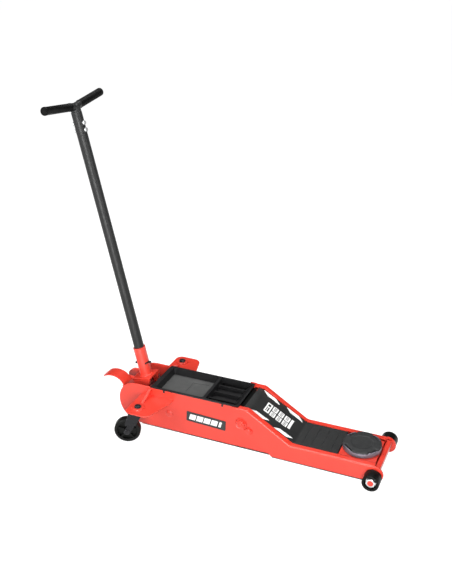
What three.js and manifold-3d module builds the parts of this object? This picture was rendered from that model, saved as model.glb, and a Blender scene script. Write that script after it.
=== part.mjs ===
// Long-chassis hydraulic trolley jack, millimetres, +Z up.
// Built with X = 0 on the front axle, +X towards the saddle and +Y to the jack's left, then moved
// along X so that the origin lies under the middle of the whole object.
import * as THREE from 'three';
import { mergeVertices } from 'three/addons/utils/BufferGeometryUtils.js';
import Module from 'manifold-3d';

const wasm = await Module();
wasm.setup();

const GAP = 0.4;                        // clearance between pieces that touch
const ORIGIN_X = -551.0;                // middle of the object, measured from the front axle

// Chassis
const PLATE = 4.7;                      // side plate thickness
const REAR_HALF = 84;                   // outer face of the rear side plates
const FRONT_HALF = 95;                  // outer face of the front side plates
const FLANGE_IN = 73;                   // inner edge of the bent top flanges
const FRAME_LOW = 5.5;
const FRAME_TOP = 164.5;
const NOSE_TOP = 67;                    // top of the low front end
const TAIL_TOP = 167;                   // top edge behind the tool tray
const TAIL = { x: -874, z: 92, r: 86.5 };
const CHEEK = { x: 1.25, z: 36.25, r: 30.75 };

// Lift arm and its parallel linkage
const PIVOT = { x: -472.7, z: 110.8 };
const PIN = { x: -75, z: 40 };
const LINK_OFFSET = { x: 29, z: -21.2 };
const COVER_R = 54;                     // cover's crown, measured from the arm pivot
const FRAME_FALL = -32.2 * Math.PI / 180;
const COVER_FALL = -29.8 * Math.PI / 180;
const COVER_TOP = 65.5;
const COVER_SKIN = 3;
const COVER_START = 1.55;               // angle at which the crown begins, behind the pivot
const COVER_END = -134;
const COVER_HALF = 70.5;

// Hydraulics
const RAM_Z = 54;
const LEVER = 62;                       // arm pivot to lever roller
const LEVER_LEAN = 32 * Math.PI / 180;
const PLUNGER_Z = 88;

// Handle
const LEAN = 13.1 * Math.PI / 180;
const HANDLE_BASE = { x: -889.4, z: 158.5 };
const YOKE_PIVOT = { x: -885, z: 118 };
const TUBE_R = 18.3;
const SOCKET_R = 22.5;
const SOCKET_LONG = 117;
const HANDLE_LONG = 1001;               // base of the socket to the fork of the grips

// Running gear
const ROLLER_R = 29.2;
const CASTER = { x: -830.5, y: 178.6 };
const TRAIL = 40;
const WHEEL_R = 47;
const CASTER_TURN = 20 * Math.PI / 180;  // both casters stand turned outwards by this angle
const WING_TOP = 134.5;                 // top of the caster wings
const WING = 5;
const BOSS_TOP = WING_TOP + 4.5;        // top of the boss around a caster bolt

const paint = new THREE.MeshStandardMaterial({ color: 0xd81e1a, roughness: 0.35, metalness: 0.1 });
const plastic = new THREE.MeshStandardMaterial({ color: 0x2b2c2c, roughness: 0.6, metalness: 0 });
const rubber = new THREE.MeshStandardMaterial({ color: 0x1c1d1d, roughness: 0.8, metalness: 0 });
const zinc = new THREE.MeshStandardMaterial({ color: 0xb9bcc0, roughness: 0.35, metalness: 0.9 });
const iron = new THREE.MeshStandardMaterial({ color: 0x6c6b72, roughness: 0.5, metalness: 0.7 });
const tubePaint = new THREE.MeshStandardMaterial({ color: 0x3b3c3c, roughness: 0.5, metalness: 0.2 });

const jack = new THREE.Group();

// ---- shape helpers -------------------------------------------------------------------------

function solid(geometry) {
  const bare = geometry.clone();
  bare.deleteAttribute('normal');
  bare.deleteAttribute('uv');
  const merged = mergeVertices(bare, 1e-4);
  return new wasm.Manifold(new wasm.Mesh({
    numProp: 3,
    vertProperties: new Float32Array(merged.attributes.position.array),
    triVerts: new Uint32Array(merged.index.array),
  }));
}

function geometryOf(body) {
  const mesh = body.getMesh();
  const geometry = new THREE.BufferGeometry();
  geometry.setAttribute('position', new THREE.BufferAttribute(mesh.vertProperties, 3));
  geometry.setIndex(new THREE.BufferAttribute(mesh.triVerts, 1));
  return geometry;
}

function add(name, body, material, parent = jack) {
  const geometry = body.isBufferGeometry ? body : geometryOf(body);
  const mesh = new THREE.Mesh(geometry, material);
  mesh.name = name;
  parent.add(mesh);
  return mesh;
}

function join(...bodies) {
  return bodies.map((body) => (body.isBufferGeometry ? solid(body) : body)).reduce((a, b) => a.add(b));
}

function cut(body, ...tools) {
  return tools.reduce((rest, tool) => rest.subtract(solid(tool)), body.isBufferGeometry ? solid(body) : body);
}

function polygon(points) {
  return new THREE.Shape(points.map(([x, y]) => new THREE.Vector2(x, y)));
}

function disc(x, y, r) {
  const shape = new THREE.Shape();
  shape.absarc(x, y, r, 0, 2 * Math.PI, false);
  return shape;
}

// An outline in X and Z, given thickness from y0 to y1.
function plateXZ(shape, y0, y1, curveSegments = 8) {
  const depth = Math.abs(y1 - y0);
  const geometry = new THREE.ExtrudeGeometry(shape, { depth, bevelEnabled: false, curveSegments });
  return geometry.rotateX(Math.PI / 2).translate(0, Math.max(y0, y1), 0);
}

// An outline in X and Y, given thickness from z0 to z1.
function slabXY(shape, z0, z1, curveSegments = 8) {
  const geometry = new THREE.ExtrudeGeometry(shape, { depth: z1 - z0, bevelEnabled: false, curveSegments });
  return geometry.translate(0, 0, z0);
}

function box(x0, x1, y0, y1, z0, z1) {
  const geometry = new THREE.BoxGeometry(Math.abs(x1 - x0), Math.abs(y1 - y0), Math.abs(z1 - z0));
  return geometry.translate((x0 + x1) / 2, (y0 + y1) / 2, (z0 + z1) / 2);
}

function rodX(r, x0, x1, y, z, sides = 20) {
  const geometry = new THREE.CylinderGeometry(r, r, Math.abs(x1 - x0), sides);
  return geometry.rotateZ(Math.PI / 2).translate((x0 + x1) / 2, y, z);
}

function rodY(r, y0, y1, x, z, sides = 20) {
  const geometry = new THREE.CylinderGeometry(r, r, Math.abs(y1 - y0), sides);
  return geometry.translate(x, (y0 + y1) / 2, z);
}

function rodZ(r, z0, z1, x, y, sides = 20) {
  const geometry = new THREE.CylinderGeometry(r, r, z1 - z0, sides);
  return geometry.rotateX(Math.PI / 2).translate(x, y, (z0 + z1) / 2);
}

// A turned piece: the profile holds radius and height pairs and closes on itself or on the axis.
function turnedZ(profile, x, y, sides = 24) {
  const points = profile.map(([r, z]) => new THREE.Vector2(r, z));
  return new THREE.LatheGeometry(points, sides).rotateX(Math.PI / 2).translate(x, y, 0);
}

function polar(centre, r, angle) {
  return [centre.x + r * Math.cos(angle), centre.z + r * Math.sin(angle)];
}

// A bar with round ends between two points of the XZ plane.
function link(a, b, ra, rb, y0, y1) {
  const along = Math.atan2(b.z - a.z, b.x - a.x);
  const shape = new THREE.Shape();
  shape.absarc(a.x, a.z, ra, along + Math.PI / 2, along + Math.PI * 1.5, false);
  shape.absarc(b.x, b.z, rb, along - Math.PI / 2, along + Math.PI / 2, false);
  return plateXZ(shape, y0, y1, 7);
}

const SIDES = [['l', 1], ['r', -1]];
const LINK_PIVOT = { x: PIVOT.x + LINK_OFFSET.x, z: PIVOT.z + LINK_OFFSET.z };
const LINK_PIN = { x: PIN.x + LINK_OFFSET.x, z: PIN.z + LINK_OFFSET.z };
const COVER_NORMAL = COVER_FALL + Math.PI / 2;

// Point at height z of the plane that falls at the given angle and passes `away` from the arm pivot.
function onSlope(fall, away, z) {
  const [x0, z0] = polar(PIVOT, away, fall + Math.PI / 2);
  return [x0 + (z - z0) / Math.tan(fall), z];
}

// ---- chassis -------------------------------------------------------------------------------

const FRAME_SLOPE = 60;                 // frame's sloping top edge, measured from the arm pivot
const MAIN_SHAFT_R = 12;
const MAIN_THREAD_R = 8;
const LINK_BOLT_R = 6;
const AXLE_R = 10;

function rearPlate(side) {
  const shape = new THREE.Shape();
  const shoulder = Math.PI * 138 / 180;
  shape.moveTo(-350, FRAME_LOW);
  shape.lineTo(-350, 60);
  shape.lineTo(-400, 110);
  shape.lineTo(...onSlope(FRAME_FALL, FRAME_SLOPE - 8, FRAME_TOP - 12));
  shape.lineTo(-488, FRAME_TOP - 3);
  shape.lineTo(-492, FRAME_TOP);
  shape.lineTo(-831, FRAME_TOP);
  shape.lineTo(-833, TAIL_TOP);
  shape.lineTo(-885, TAIL_TOP);
  shape.quadraticCurveTo(-917, TAIL_TOP, ...polar(TAIL, TAIL.r, shoulder));
  shape.absarc(TAIL.x, TAIL.z, TAIL.r, shoulder, Math.PI * 1.5, false);
  const inner = side * (REAR_HALF - PLATE);
  const outer = side * REAR_HALF;
  const body = plateXZ(shape, inner, outer, 12);
  return cut(
    body,
    rodY(MAIN_THREAD_R + GAP, inner - side, outer + side, PIVOT.x, PIVOT.z),
    rodY(LINK_BOLT_R + GAP, inner - side, outer + side, LINK_PIVOT.x, LINK_PIVOT.z),
  );
}

// The front plate stands outside the rear one, on a spacer of its own where the two overlap.
function frontPlate(side) {
  const top = FRAME_TOP + 3;
  const slopeTop = onSlope(FRAME_FALL, FRAME_SLOPE, top);
  const slopeFoot = onSlope(FRAME_FALL, FRAME_SLOPE, NOSE_TOP - 1);
  const shape = new THREE.Shape();
  shape.moveTo(-359, FRAME_LOW);
  shape.lineTo(-368, 14);
  shape.lineTo(-496, 90);
  shape.lineTo(-517, 115);
  shape.lineTo(-511, top);
  shape.lineTo(...slopeTop);
  shape.lineTo(...slopeFoot);
  shape.absarc(CHEEK.x, CHEEK.z, CHEEK.r, Math.PI / 2, -Math.PI / 2, true);
  const inner = side * (REAR_HALF + GAP);
  const outer = side * FRONT_HALF;
  const wall = plateXZ(shape, outer - side * PLATE, outer, 12);
  const overlap = box(-600, -405, 0, side * 200, 0, 200);
  const spacer = solid(plateXZ(shape, inner, outer - side, 12)).intersect(solid(overlap));
  const flange = polygon([
    [-487, top], slopeTop, slopeFoot, [-1, NOSE_TOP - 0.3],
    [-1, NOSE_TOP - PLATE], [slopeFoot[0] - 1.5, slopeFoot[1] - PLATE],
    [slopeTop[0] - 1.5, top - PLATE], [-487, top - PLATE],
  ]);
  return cut(
    join(wall, spacer, plateXZ(flange, side * FLANGE_IN, outer - side)),
    rodY(MAIN_THREAD_R + GAP, inner - side, outer + side, PIVOT.x, PIVOT.z),
    rodY(LINK_BOLT_R + GAP, inner - side, outer + side, LINK_PIVOT.x, LINK_PIVOT.z),
    rodY(AXLE_R + GAP, inner - side, outer + side, 0, ROLLER_R),
  );
}

// Rounded wing that carries a caster, with its gusset and the boss around the caster bolt.
function casterWing(side) {
  const inner = side * (REAR_HALF + GAP);
  const y = (value) => side * value;
  const shape = new THREE.Shape();
  shape.moveTo(-866, inner);
  shape.lineTo(-866, y(196));
  shape.quadraticCurveTo(-866, y(220), -842, y(220));
  shape.lineTo(-795.4, y(220));
  shape.quadraticCurveTo(-772, y(220), -766.3, y(197.3));
  shape.lineTo(-738, inner);
  const wing = slabXY(shape, WING_TOP - WING, WING_TOP, 5);
  const gusset = new THREE.BufferGeometry();
  const x0 = CASTER.x - 5;
  const x1 = CASTER.x + 5;
  const corners = [[REAR_HALF + GAP, WING_TOP - 1], [152, WING_TOP - 1], [REAR_HALF + GAP, FRAME_TOP - 1]];
  gusset.setAttribute('position', new THREE.Float32BufferAttribute(
    [x0, x1].flatMap((x) => corners.flatMap(([v, z]) => [x, y(v), z])), 3));
  const faces = [0, 2, 1, 3, 4, 5, 0, 1, 4, 0, 4, 3, 1, 2, 5, 1, 5, 4, 2, 0, 3, 2, 3, 5];
  gusset.setIndex(side > 0 ? faces : faces.slice().reverse());
  const boss = rodZ(22, WING_TOP - 1, BOSS_TOP, CASTER.x, y(CASTER.y), 24);
  return cut(join(wing, solid(gusset), boss), rodZ(8.4, WING_TOP - 10, BOSS_TOP + 1, CASTER.x, y(CASTER.y)));
}

const TRAY = { x0: -829, x1: -489.5, floor: 137, top: FRAME_TOP + 4, half: REAR_HALF };
const TRAY_WALL = { x0: -816.5, x1: -492, half: 78.9, skin: 3 };
const TRAY_DIVIDER = { x0: -628, x1: -617 };
const TRAY_CLEAR = COVER_R + 2.5;       // tray's front wall stays this far from the arm pivot
const RIB_Y = [-45, 0, 45];
const RIB_TOP = 156;

function toolTray() {
  const front = (z) => PIVOT.x - Math.sqrt(TRAY_CLEAR ** 2 - (z - PIVOT.z) ** 2);
  const outer = polygon([
    [TRAY_WALL.x0, TRAY.top - 1], [TRAY_WALL.x0, TRAY.floor], [front(TRAY.floor), TRAY.floor],
    [front(148), 148], [front(157), 157], [TRAY_WALL.x1, TRAY.top - 1],
  ]);
  const rim = box(TRAY.x0, TRAY.x1, -TRAY.half, TRAY.half, FRAME_TOP + GAP, TRAY.top);
  const body = join(rim, plateXZ(outer, -TRAY_WALL.half, TRAY_WALL.half));
  const inner = TRAY_WALL.half - TRAY_WALL.skin;
  const low = TRAY.floor + TRAY_WALL.skin;
  const frontEdge = TRAY_WALL.x1 - TRAY_WALL.skin;
  const rear = box(TRAY_WALL.x0 + TRAY_WALL.skin, TRAY_DIVIDER.x0, -inner, inner, low, TRAY.top + 1);
  const pocket = (bottom) => polygon([
    [TRAY_DIVIDER.x1, TRAY.top + 1], [TRAY_DIVIDER.x1, bottom], [front(bottom) - TRAY_WALL.skin, bottom],
    [front(RIB_TOP) - TRAY_WALL.skin, RIB_TOP], [frontEdge, TRAY.top - 2], [frontEdge, TRAY.top + 1],
  ]);
  const edges = [-inner, ...RIB_Y.flatMap((y) => [y - 3, y + 3]), inner];
  const slots = [0, 2, 4, 6].map((i) => plateXZ(pocket(low), edges[i], edges[i + 1]));
  const over = plateXZ(polygon([
    [TRAY_DIVIDER.x1, TRAY.top + 1], [TRAY_DIVIDER.x1, RIB_TOP], [front(RIB_TOP) - TRAY_WALL.skin, RIB_TOP],
    [frontEdge, TRAY.top - 2], [frontEdge, TRAY.top + 1],
  ]), -inner, inner);
  return cut(body, rear, over, ...slots);
}

function buildChassis() {
  for (const [tag, side] of SIDES) {
    add(`rear_side_plate_${tag}`, rearPlate(side), paint);
    add(`front_side_plate_${tag}`, frontPlate(side), paint);
    add(`caster_bracket_${tag}`, casterWing(side), paint);
    const face = side * (REAR_HALF + GAP);
    add(`trunnion_cap_${tag}`, rodY(13.5, face, face + side * 2, -757, 74, 24), paint);
    const badge = new THREE.BoxGeometry(152, 1, 40).translate(0, face + side * 0.5, 0);
    const badgeMesh = add(`label_plate_${tag}`, badge, plastic);
    badgeMesh.rotation.y = 2.3 * Math.PI / 180;
    badgeMesh.position.set(-611, 0, 81);
  }
  const inside = REAR_HALF - PLATE - GAP;
  add('rear_cross_plate', box(-918, -868, -inside, inside, 20, 26), paint);
  add('front_cross_bar', box(1, 19, -REAR_HALF, REAR_HALF, 42, 60), paint);
  add('tool_tray', toolTray(), plastic);
  const cradle = box(-598, -592, -inside, inside, 16, 118);
  add('cylinder_cradle', cut(cradle, rodX(28 + GAP, -600, -590, 0, RAM_Z, 28)), paint);
}

// ---- hydraulic unit ------------------------------------------------------------------------

const BLOCK = { x0: -835, x1: -760.4, half: 45, low: 24, top: 120 };
const CYLINDER = { x0: -760, x1: -575, r: 28, bore: 12.6 };
const ROD = { x0: -735, x1: -526, r: 12, nose: 5 };
const PLUNGER = { x0: -875, x1: -800, r: 9 };

function buildHydraulics() {
  const block = cut(
    box(BLOCK.x0, BLOCK.x1, -BLOCK.half, BLOCK.half, BLOCK.low, BLOCK.top),
    rodX(PLUNGER.r + GAP, BLOCK.x0 - 5, -765, 0, PLUNGER_Z),
    rodX(6 + GAP, BLOCK.x0 - 5, -815, -28, 60),
  );
  add('pump_block', block, iron);
  const cylinder = cut(
    rodX(CYLINDER.r, CYLINDER.x0, CYLINDER.x1, 0, RAM_Z, 28),
    rodX(CYLINDER.bore, -745, CYLINDER.x1 + 5, 0, RAM_Z),
  );
  add('hydraulic_cylinder', cylinder, iron);
  add('release_valve', join(
    rodX(6, -846, -816, -28, 60, 16), rodX(9, -858, -846, -28, 60, 6),
  ), zinc);
  const leverTip = -LEVER * Math.sin(LEVER_LEAN) + PIVOT.x;
  const noseEnd = leverTip - 11 - 1.5;
  add('ram_rod', join(
    rodX(ROD.r, ROD.x0, ROD.x1, 0, RAM_Z), rodX(ROD.nose, ROD.x1 - 2, noseEnd, 0, RAM_Z, 14),
  ), zinc);
  add('pump_plunger', rodX(PLUNGER.r, PLUNGER.x0, PLUNGER.x1, 0, PLUNGER_Z), zinc);
}

// ---- lift arm, links, saddle ---------------------------------------------------------------

const ARM_Y = [56, 62];
const COVER_LIP_HALF = ARM_Y[0] - GAP;
const ARM_HOLE = MAIN_SHAFT_R + GAP;
const ARM_TUBE_R = 17;
const SHAFT_END = FRONT_HALF + 12;      // end of the main shaft's threads
const CARRIER = { x0: -131, x1: -3, half: 66, low: 57.5, top: 63 };
const CARRIER_CHEEK_Y = [47, 53];
const LINK_Y = [65.5, 70];
const SADDLE_X = -66;

function armPlate(side) {
  const under = COVER_R - COVER_SKIN - GAP;
  const shape = new THREE.Shape();
  shape.absarc(PIVOT.x, PIVOT.z, under, COVER_NORMAL, COVER_START + 0.05, false);
  shape.absarc(PIVOT.x, PIVOT.z, 34, 2.6, Math.PI * 1.6, false);
  shape.lineTo(-345, 40);
  shape.lineTo(-305, 22);
  shape.lineTo(-150, 22);
  shape.absarc(PIN.x, PIN.z, 13, -Math.PI / 2, Math.PI / 2, false);
  shape.lineTo(-128, 54);
  shape.lineTo(-142, COVER_TOP - COVER_SKIN - GAP);
  shape.lineTo(...onSlope(COVER_FALL, under, COVER_TOP - COVER_SKIN - GAP));
  const [y0, y1] = ARM_Y;
  return cut(
    plateXZ(shape, side * y0, side * y1, 10),
    rodY(ARM_HOLE, side * (y0 - 1), side * (y1 + 1), PIVOT.x, PIVOT.z),
    rodY(8 + GAP, side * (y0 - 1), side * (y1 + 1), PIN.x, PIN.z),
  );
}

// Folded cover over the arm, with a lip that closes its front end between the arm plates.
function armCover() {
  const band = (away, top) => {
    const [x, z] = onSlope(COVER_FALL, away, top);
    return [[x, z], [COVER_END, top]];
  };
  const shape = new THREE.Shape();
  shape.absarc(PIVOT.x, PIVOT.z, COVER_R, COVER_START, COVER_NORMAL, true);
  const outer = band(COVER_R, COVER_TOP);
  const inner = band(COVER_R - COVER_SKIN, COVER_TOP - COVER_SKIN);
  shape.lineTo(...outer[0]);
  shape.lineTo(...outer[1]);
  shape.lineTo(...inner[1]);
  shape.lineTo(...inner[0]);
  shape.absarc(PIVOT.x, PIVOT.z, COVER_R - COVER_SKIN, COVER_NORMAL, COVER_START, false);
  const lip = box(COVER_END - COVER_SKIN, COVER_END, -COVER_LIP_HALF, COVER_LIP_HALF, 48, COVER_TOP - 1);
  return join(plateXZ(shape, -COVER_HALF, COVER_HALF, 12), lip);
}

// Hub around the arm's cross tube with two cheeks that hold the roller the ram pushes on.
function ramLever() {
  const tip = { x: PIVOT.x - LEVER * Math.sin(LEVER_LEAN), z: PIVOT.z - LEVER * Math.cos(LEVER_LEAN) };
  const hub = rodY(27, -16, 16, PIVOT.x, PIVOT.z, 24);
  const arms = [[-16, -6.2], [6.2, 16]].map(([y0, y1]) => link(PIVOT, tip, 20, 9, y0, y1));
  const lever = cut(
    join(hub, ...arms),
    rodY(ARM_TUBE_R + GAP, -20, 20, PIVOT.x, PIVOT.z, 24),
    rodY(5 + GAP, -20, 20, tip.x, tip.z, 14),
  );
  add('ram_lever', lever, iron);
  add('lever_roller', join(rodY(11, -5.7, 5.7, tip.x, tip.z), rodY(5, -16, 16, tip.x, tip.z, 14)), zinc);
}

function buildArm() {
  for (const [tag, side] of SIDES) {
    add(`arm_plate_${tag}`, armPlate(side), paint);
  }
  const between = ARM_Y[0] - GAP;
  add('arm_pivot_tube', cut(
    rodY(ARM_TUBE_R, -between, between, PIVOT.x, PIVOT.z, 24),
    rodY(ARM_HOLE, -between - 1, between + 1, PIVOT.x, PIVOT.z),
  ), paint);
  ramLever();
  add('arm_cover', armCover(), plastic);
  add('carrier_pin', rodY(8, -62.5, 62.5, PIN.x, PIN.z), zinc);
  const shaftHalf = REAR_HALF - PLATE - GAP;
  add('main_pivot_shaft', join(
    rodY(MAIN_SHAFT_R, -shaftHalf, shaftHalf, PIVOT.x, PIVOT.z),
    rodY(MAIN_THREAD_R, -SHAFT_END, SHAFT_END, PIVOT.x, PIVOT.z),
  ), zinc);
  for (const [tag, side] of SIDES) {
    const face = side * (FRONT_HALF + GAP);
    const nut = rodY(15.6, face, face + side * 10, PIVOT.x, PIVOT.z, 6);
    const bore = rodY(MAIN_THREAD_R + GAP, face - side, side * (SHAFT_END + 1), PIVOT.x, PIVOT.z);
    add(`pivot_nut_${tag}`, cut(nut, bore), paint);
    add(`link_bolt_${tag}`, join(
      rodY(LINK_BOLT_R, side * 64.5, face + side * 2, LINK_PIVOT.x, LINK_PIVOT.z, 16),
      rodY(11.5, face, face + side * 7, LINK_PIVOT.x, LINK_PIVOT.z, 6),
    ), paint);
  }
}

// A flat bar of even width that follows a bent line, with round ends.
function bentBar(line, half, y0, y1) {
  const normals = line.slice(1).map((b, i) => {
    const along = Math.atan2(b.z - line[i].z, b.x - line[i].x);
    return along + Math.PI / 2;
  });
  const edge = (turn) => line.slice(1, -1).map((point, i) => {
    const middle = (normals[i] + normals[i + 1]) / 2;
    const away = turn * half / Math.cos((normals[i + 1] - normals[i]) / 2);
    return polar(point, away, middle);
  });
  const [first, last] = [line[0], line[line.length - 1]];
  const [start, end] = [normals[0], normals[normals.length - 1]];
  const shape = new THREE.Shape();
  shape.absarc(first.x, first.z, half, start, start + Math.PI, false);
  edge(-1).forEach((point) => shape.lineTo(...point));
  shape.absarc(last.x, last.z, half, end + Math.PI, end + 2 * Math.PI, false);
  edge(1).reverse().forEach((point) => shape.lineTo(...point));
  return plateXZ(shape, y0, y1, 6);
}

function levellingLink(side) {
  const [y0, y1] = LINK_Y.map((y) => side * y);
  const line = [LINK_PIVOT, { x: -352, z: 43 }, { x: -318, z: 26 }, LINK_PIN];
  return cut(
    bentBar(line, 9.5, y0, y1),
    rodY(LINK_BOLT_R + GAP, y0 - side, y1 + side, LINK_PIVOT.x, LINK_PIVOT.z, 14),
    rodY(5.5 + GAP, y0 - side, y1 + side, LINK_PIN.x, LINK_PIN.z, 14),
  );
}

function saddleCarrier() {
  const [y0, y1] = CARRIER_CHEEK_Y;
  const plate = box(CARRIER.x0, CARRIER.x1, -CARRIER.half, CARRIER.half, CARRIER.low, CARRIER.top);
  const cheek = polygon([
    [-112, CARRIER.low + 1], [-92, 30], [-80, 24], [-54, 9.5], [-40, 9.5], [-35, 14], [-30, CARRIER.low + 1],
  ]);
  const cheeks = SIDES.map(([, side]) => plateXZ(cheek, side * y0, side * y1));
  const stubs = SIDES.map(([, side]) => rodY(5.5, side * (y0 + 1), side * 71, LINK_PIN.x, LINK_PIN.z, 16));
  return cut(
    join(plate, ...cheeks, ...stubs),
    rodY(8 + GAP, -60, 60, PIN.x, PIN.z),
    rodZ(12 + GAP, CARRIER.low - 5, CARRIER.top + 5, SADDLE_X, 0),
  );
}

const TAB_ANGLES = [50, 140, 230, 320].map((degrees) => degrees * Math.PI / 180);

function saddleBowl() {
  const base = turnedZ([
    [0, 50], [12, 50], [12, 63.4], [40, 63.4], [58, 64.5], [65, 68], [66, 74], [66, 80],
    [62.4, 80], [62.4, 76], [0, 76],
  ], SADDLE_X, 0, 40);
  const ring = turnedZ([[62.4, 75], [66, 75], [66, 84.5], [62.4, 84.5], [62.4, 75]], SADDLE_X, 0, 40);
  const wedges = TAB_ANGLES.map((angle) => {
    const reach = 90;
    const spread = 0.29;
    const wedge = polygon([
      [SADDLE_X, 0],
      [SADDLE_X + reach * Math.cos(angle - spread), reach * Math.sin(angle - spread)],
      [SADDLE_X + reach * Math.cos(angle + spread), reach * Math.sin(angle + spread)],
    ]);
    return solid(slabXY(wedge, 70, 90));
  });
  const tabs = solid(ring).intersect(wedges.reduce((a, b) => a.add(b)));
  return join(base, tabs);
}

function buildSaddle() {
  for (const [tag, side] of SIDES) {
    add(`link_bar_${tag}`, levellingLink(side), paint);
  }
  add('saddle_carrier', saddleCarrier(), paint);
  add('saddle_bowl', saddleBowl(), iron);
  add('saddle_pad', turnedZ([
    [0, 76.4], [62, 76.4], [62, 84.5], [59, 86], [0, 86],
  ], SADDLE_X, 0, 40), rubber);
}

// ---- rollers and casters -------------------------------------------------------------------

const ROLLER_Y = [FRONT_HALF + 1.5, 142];

function roller(side) {
  const [y0, y1] = ROLLER_Y.map((y) => side * y);
  return cut(
    rodY(ROLLER_R, y0, y1, 0, ROLLER_R, 32),
    rodY(AXLE_R + GAP, y0 - side, y1 + side, 0, ROLLER_R),
    rodY(20, side * 126, y1 + side, 0, ROLLER_R, 24),
  );
}

function casterFork(side) {
  const y = side * CASTER.y;
  const axle = { x: CASTER.x - TRAIL, z: WHEEL_R };
  const top = slabXY(disc(CASTER.x, y, 24), 112, 118, 8);
  const bridge = box(CASTER.x - 34, CASTER.x, y - 21.5, y + 21.5, 112, 118);
  const cheeks = [[-21.5, -17.5], [17.5, 21.5]].map(([a, b]) => {
    const shape = new THREE.Shape();
    shape.moveTo(CASTER.x + 14, 113);
    shape.lineTo(CASTER.x - 34, 113);
    shape.absarc(axle.x, axle.z, 12, Math.PI * 0.95, Math.PI * 1.9, false);
    return plateXZ(shape, y + a, y + b, 8);
  });
  return cut(
    join(top, bridge, ...cheeks),
    rodZ(8.4, 108, 122, CASTER.x, y),
    rodY(6 + GAP, y - 25, y + 25, axle.x, axle.z, 16),
  );
}

// Turns a mesh about the upright axis through x, y.
function turn(mesh, x, y, angle) {
  const moved = new THREE.Vector3(x, y, 0).applyAxisAngle(new THREE.Vector3(0, 0, 1), angle);
  mesh.rotation.z = angle;
  mesh.position.set(x - moved.x, y - moved.y, 0);
}

function buildRunningGear() {
  add('front_axle', rodY(AXLE_R, -140.5, 140.5, 0, ROLLER_R), paint);
  for (const [tag, side] of SIDES) {
    add(`front_roller_${tag}`, roller(side), plastic);
    add(`axle_nut_${tag}`, cut(
      rodY(17, side * 127, side * 139, 0, ROLLER_R, 6),
      rodY(AXLE_R + GAP, side * 126, side * 141, 0, ROLLER_R),
    ), zinc);
    const y = side * CASTER.y;
    const x = CASTER.x - TRAIL;
    const fork = add(`caster_fork_${tag}`, casterFork(side), plastic);
    const wheel = add(`caster_wheel_${tag}`, cut(
      rodY(WHEEL_R, y - 16, y + 16, x, WHEEL_R, 36),
      rodY(6 + GAP, y - 20, y + 20, x, WHEEL_R, 16),
    ), plastic);
    const axle = add(`caster_axle_${tag}`, join(
      rodY(6, y - 22, y + 22, x, WHEEL_R, 16), rodY(9, y - 25, y - 21.9, x, WHEEL_R, 16),
      rodY(9, y + 21.9, y + 25, x, WHEEL_R, 16),
    ), zinc);
    [fork, wheel, axle].forEach((mesh) => turn(mesh, CASTER.x, y, -side * CASTER_TURN));
    add(`caster_bolt_${tag}`, turnedZ([
      [0, 103], [12, 103], [12, 111.6], [8, 111.6], [8, 118.4], [16, 118.4], [16, WING_TOP - WING - GAP],
      [8, WING_TOP - WING - GAP], [8, BOSS_TOP + GAP], [12, BOSS_TOP + GAP], [12, 142], [8, 146], [0, 146.5],
    ], CASTER.x, y, 14), plastic);
  }
}

// ---- handle, yoke and pedal ----------------------------------------------------------------

const SLOT_AT = 54;                     // cross pin height above the base of the socket
const TWIST = 35 * Math.PI / 180;
const TUBE_BORE = TUBE_R - 2.5;
const TUBE_TOP = HANDLE_LONG - 17;
const GRIP_RISE = 6.3 * Math.PI / 180;
const GRIP_R = 13.5;
const GRIP_REACH = 173;
const SPIGOT = { low: HANDLE_LONG - 111, r: TUBE_BORE - GAP };
const NECK_R = 17.5;

// Frame of the handle: Z runs up the tube from the base of the socket.
const handleFrame = new THREE.Group();
handleFrame.rotation.y = -LEAN;
handleFrame.position.set(HANDLE_BASE.x, 0, HANDLE_BASE.z);

// Point of the handle's own frame, carried into the jack's frame.
function intoJack(geometry) {
  return geometry.clone().rotateY(-LEAN).translate(HANDLE_BASE.x, 0, HANDLE_BASE.z);
}

function sector(from, to, reach) {
  return polygon([
    [0, 0],
    [reach * Math.cos(from), reach * Math.sin(from)],
    [reach * Math.cos((from + to) / 2), reach * Math.sin((from + to) / 2)],
    [reach * Math.cos(to), reach * Math.sin(to)],
  ]);
}

function handleYoke() {
  const web = intoJack(box(-42, 34, -37, 37, 0, 6));
  const socket = intoJack(rodZ(SOCKET_R, 2, SOCKET_LONG, 0, 0, 28));
  const cheek = new THREE.Shape();
  cheek.moveTo(-930, 152);
  cheek.lineTo(-905, 100);
  cheek.absarc(YOKE_PIVOT.x, PLUNGER_Z, 11, Math.PI, Math.PI * 2, false);
  cheek.lineTo(-862, 118);
  cheek.lineTo(-858, 167);
  const cheeks = SIDES.map(([, side]) => plateXZ(cheek, side * 31, side * 37));
  const lobe = new THREE.Shape();
  lobe.moveTo(-925, 156);
  lobe.quadraticCurveTo(-962, 158, -978, 140);
  lobe.quadraticCurveTo(-990, 118, -968, 108);
  lobe.lineTo(-905, 102);
  const roller = rodY(9, -32, 32, YOKE_PIVOT.x, PLUNGER_Z);
  const pin = rodY(9 + GAP, -80, 80, YOKE_PIVOT.x, YOKE_PIVOT.z);
  const margin = 0.23;
  const bore = intoJack(rodZ(TUBE_R + GAP, 7, SOCKET_LONG + 5, 0, 0, 28));
  const slots = [0, Math.PI].map((turn) => intoJack(
    slabXY(sector(turn - TWIST - margin, turn + margin, 40), SLOT_AT - 4.2, SLOT_AT + 4.2)));
  const lobes = [[31, 37], [-26, -18]].map(([y0, y1]) => plateXZ(lobe, y0, y1, 5));
  return cut(join(web, socket, ...cheeks, ...lobes, roller), pin, bore, ...slots);
}

// Part of a grip arm: a rod of radius r between two distances along the rising arm.
function gripRod(side, r, from, to) {
  const rod = rodY(r, from, to, 0, 0);
  return rod.rotateX(GRIP_RISE).rotateZ(side > 0 ? 0 : Math.PI).translate(0, 0, HANDLE_LONG);
}

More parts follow.
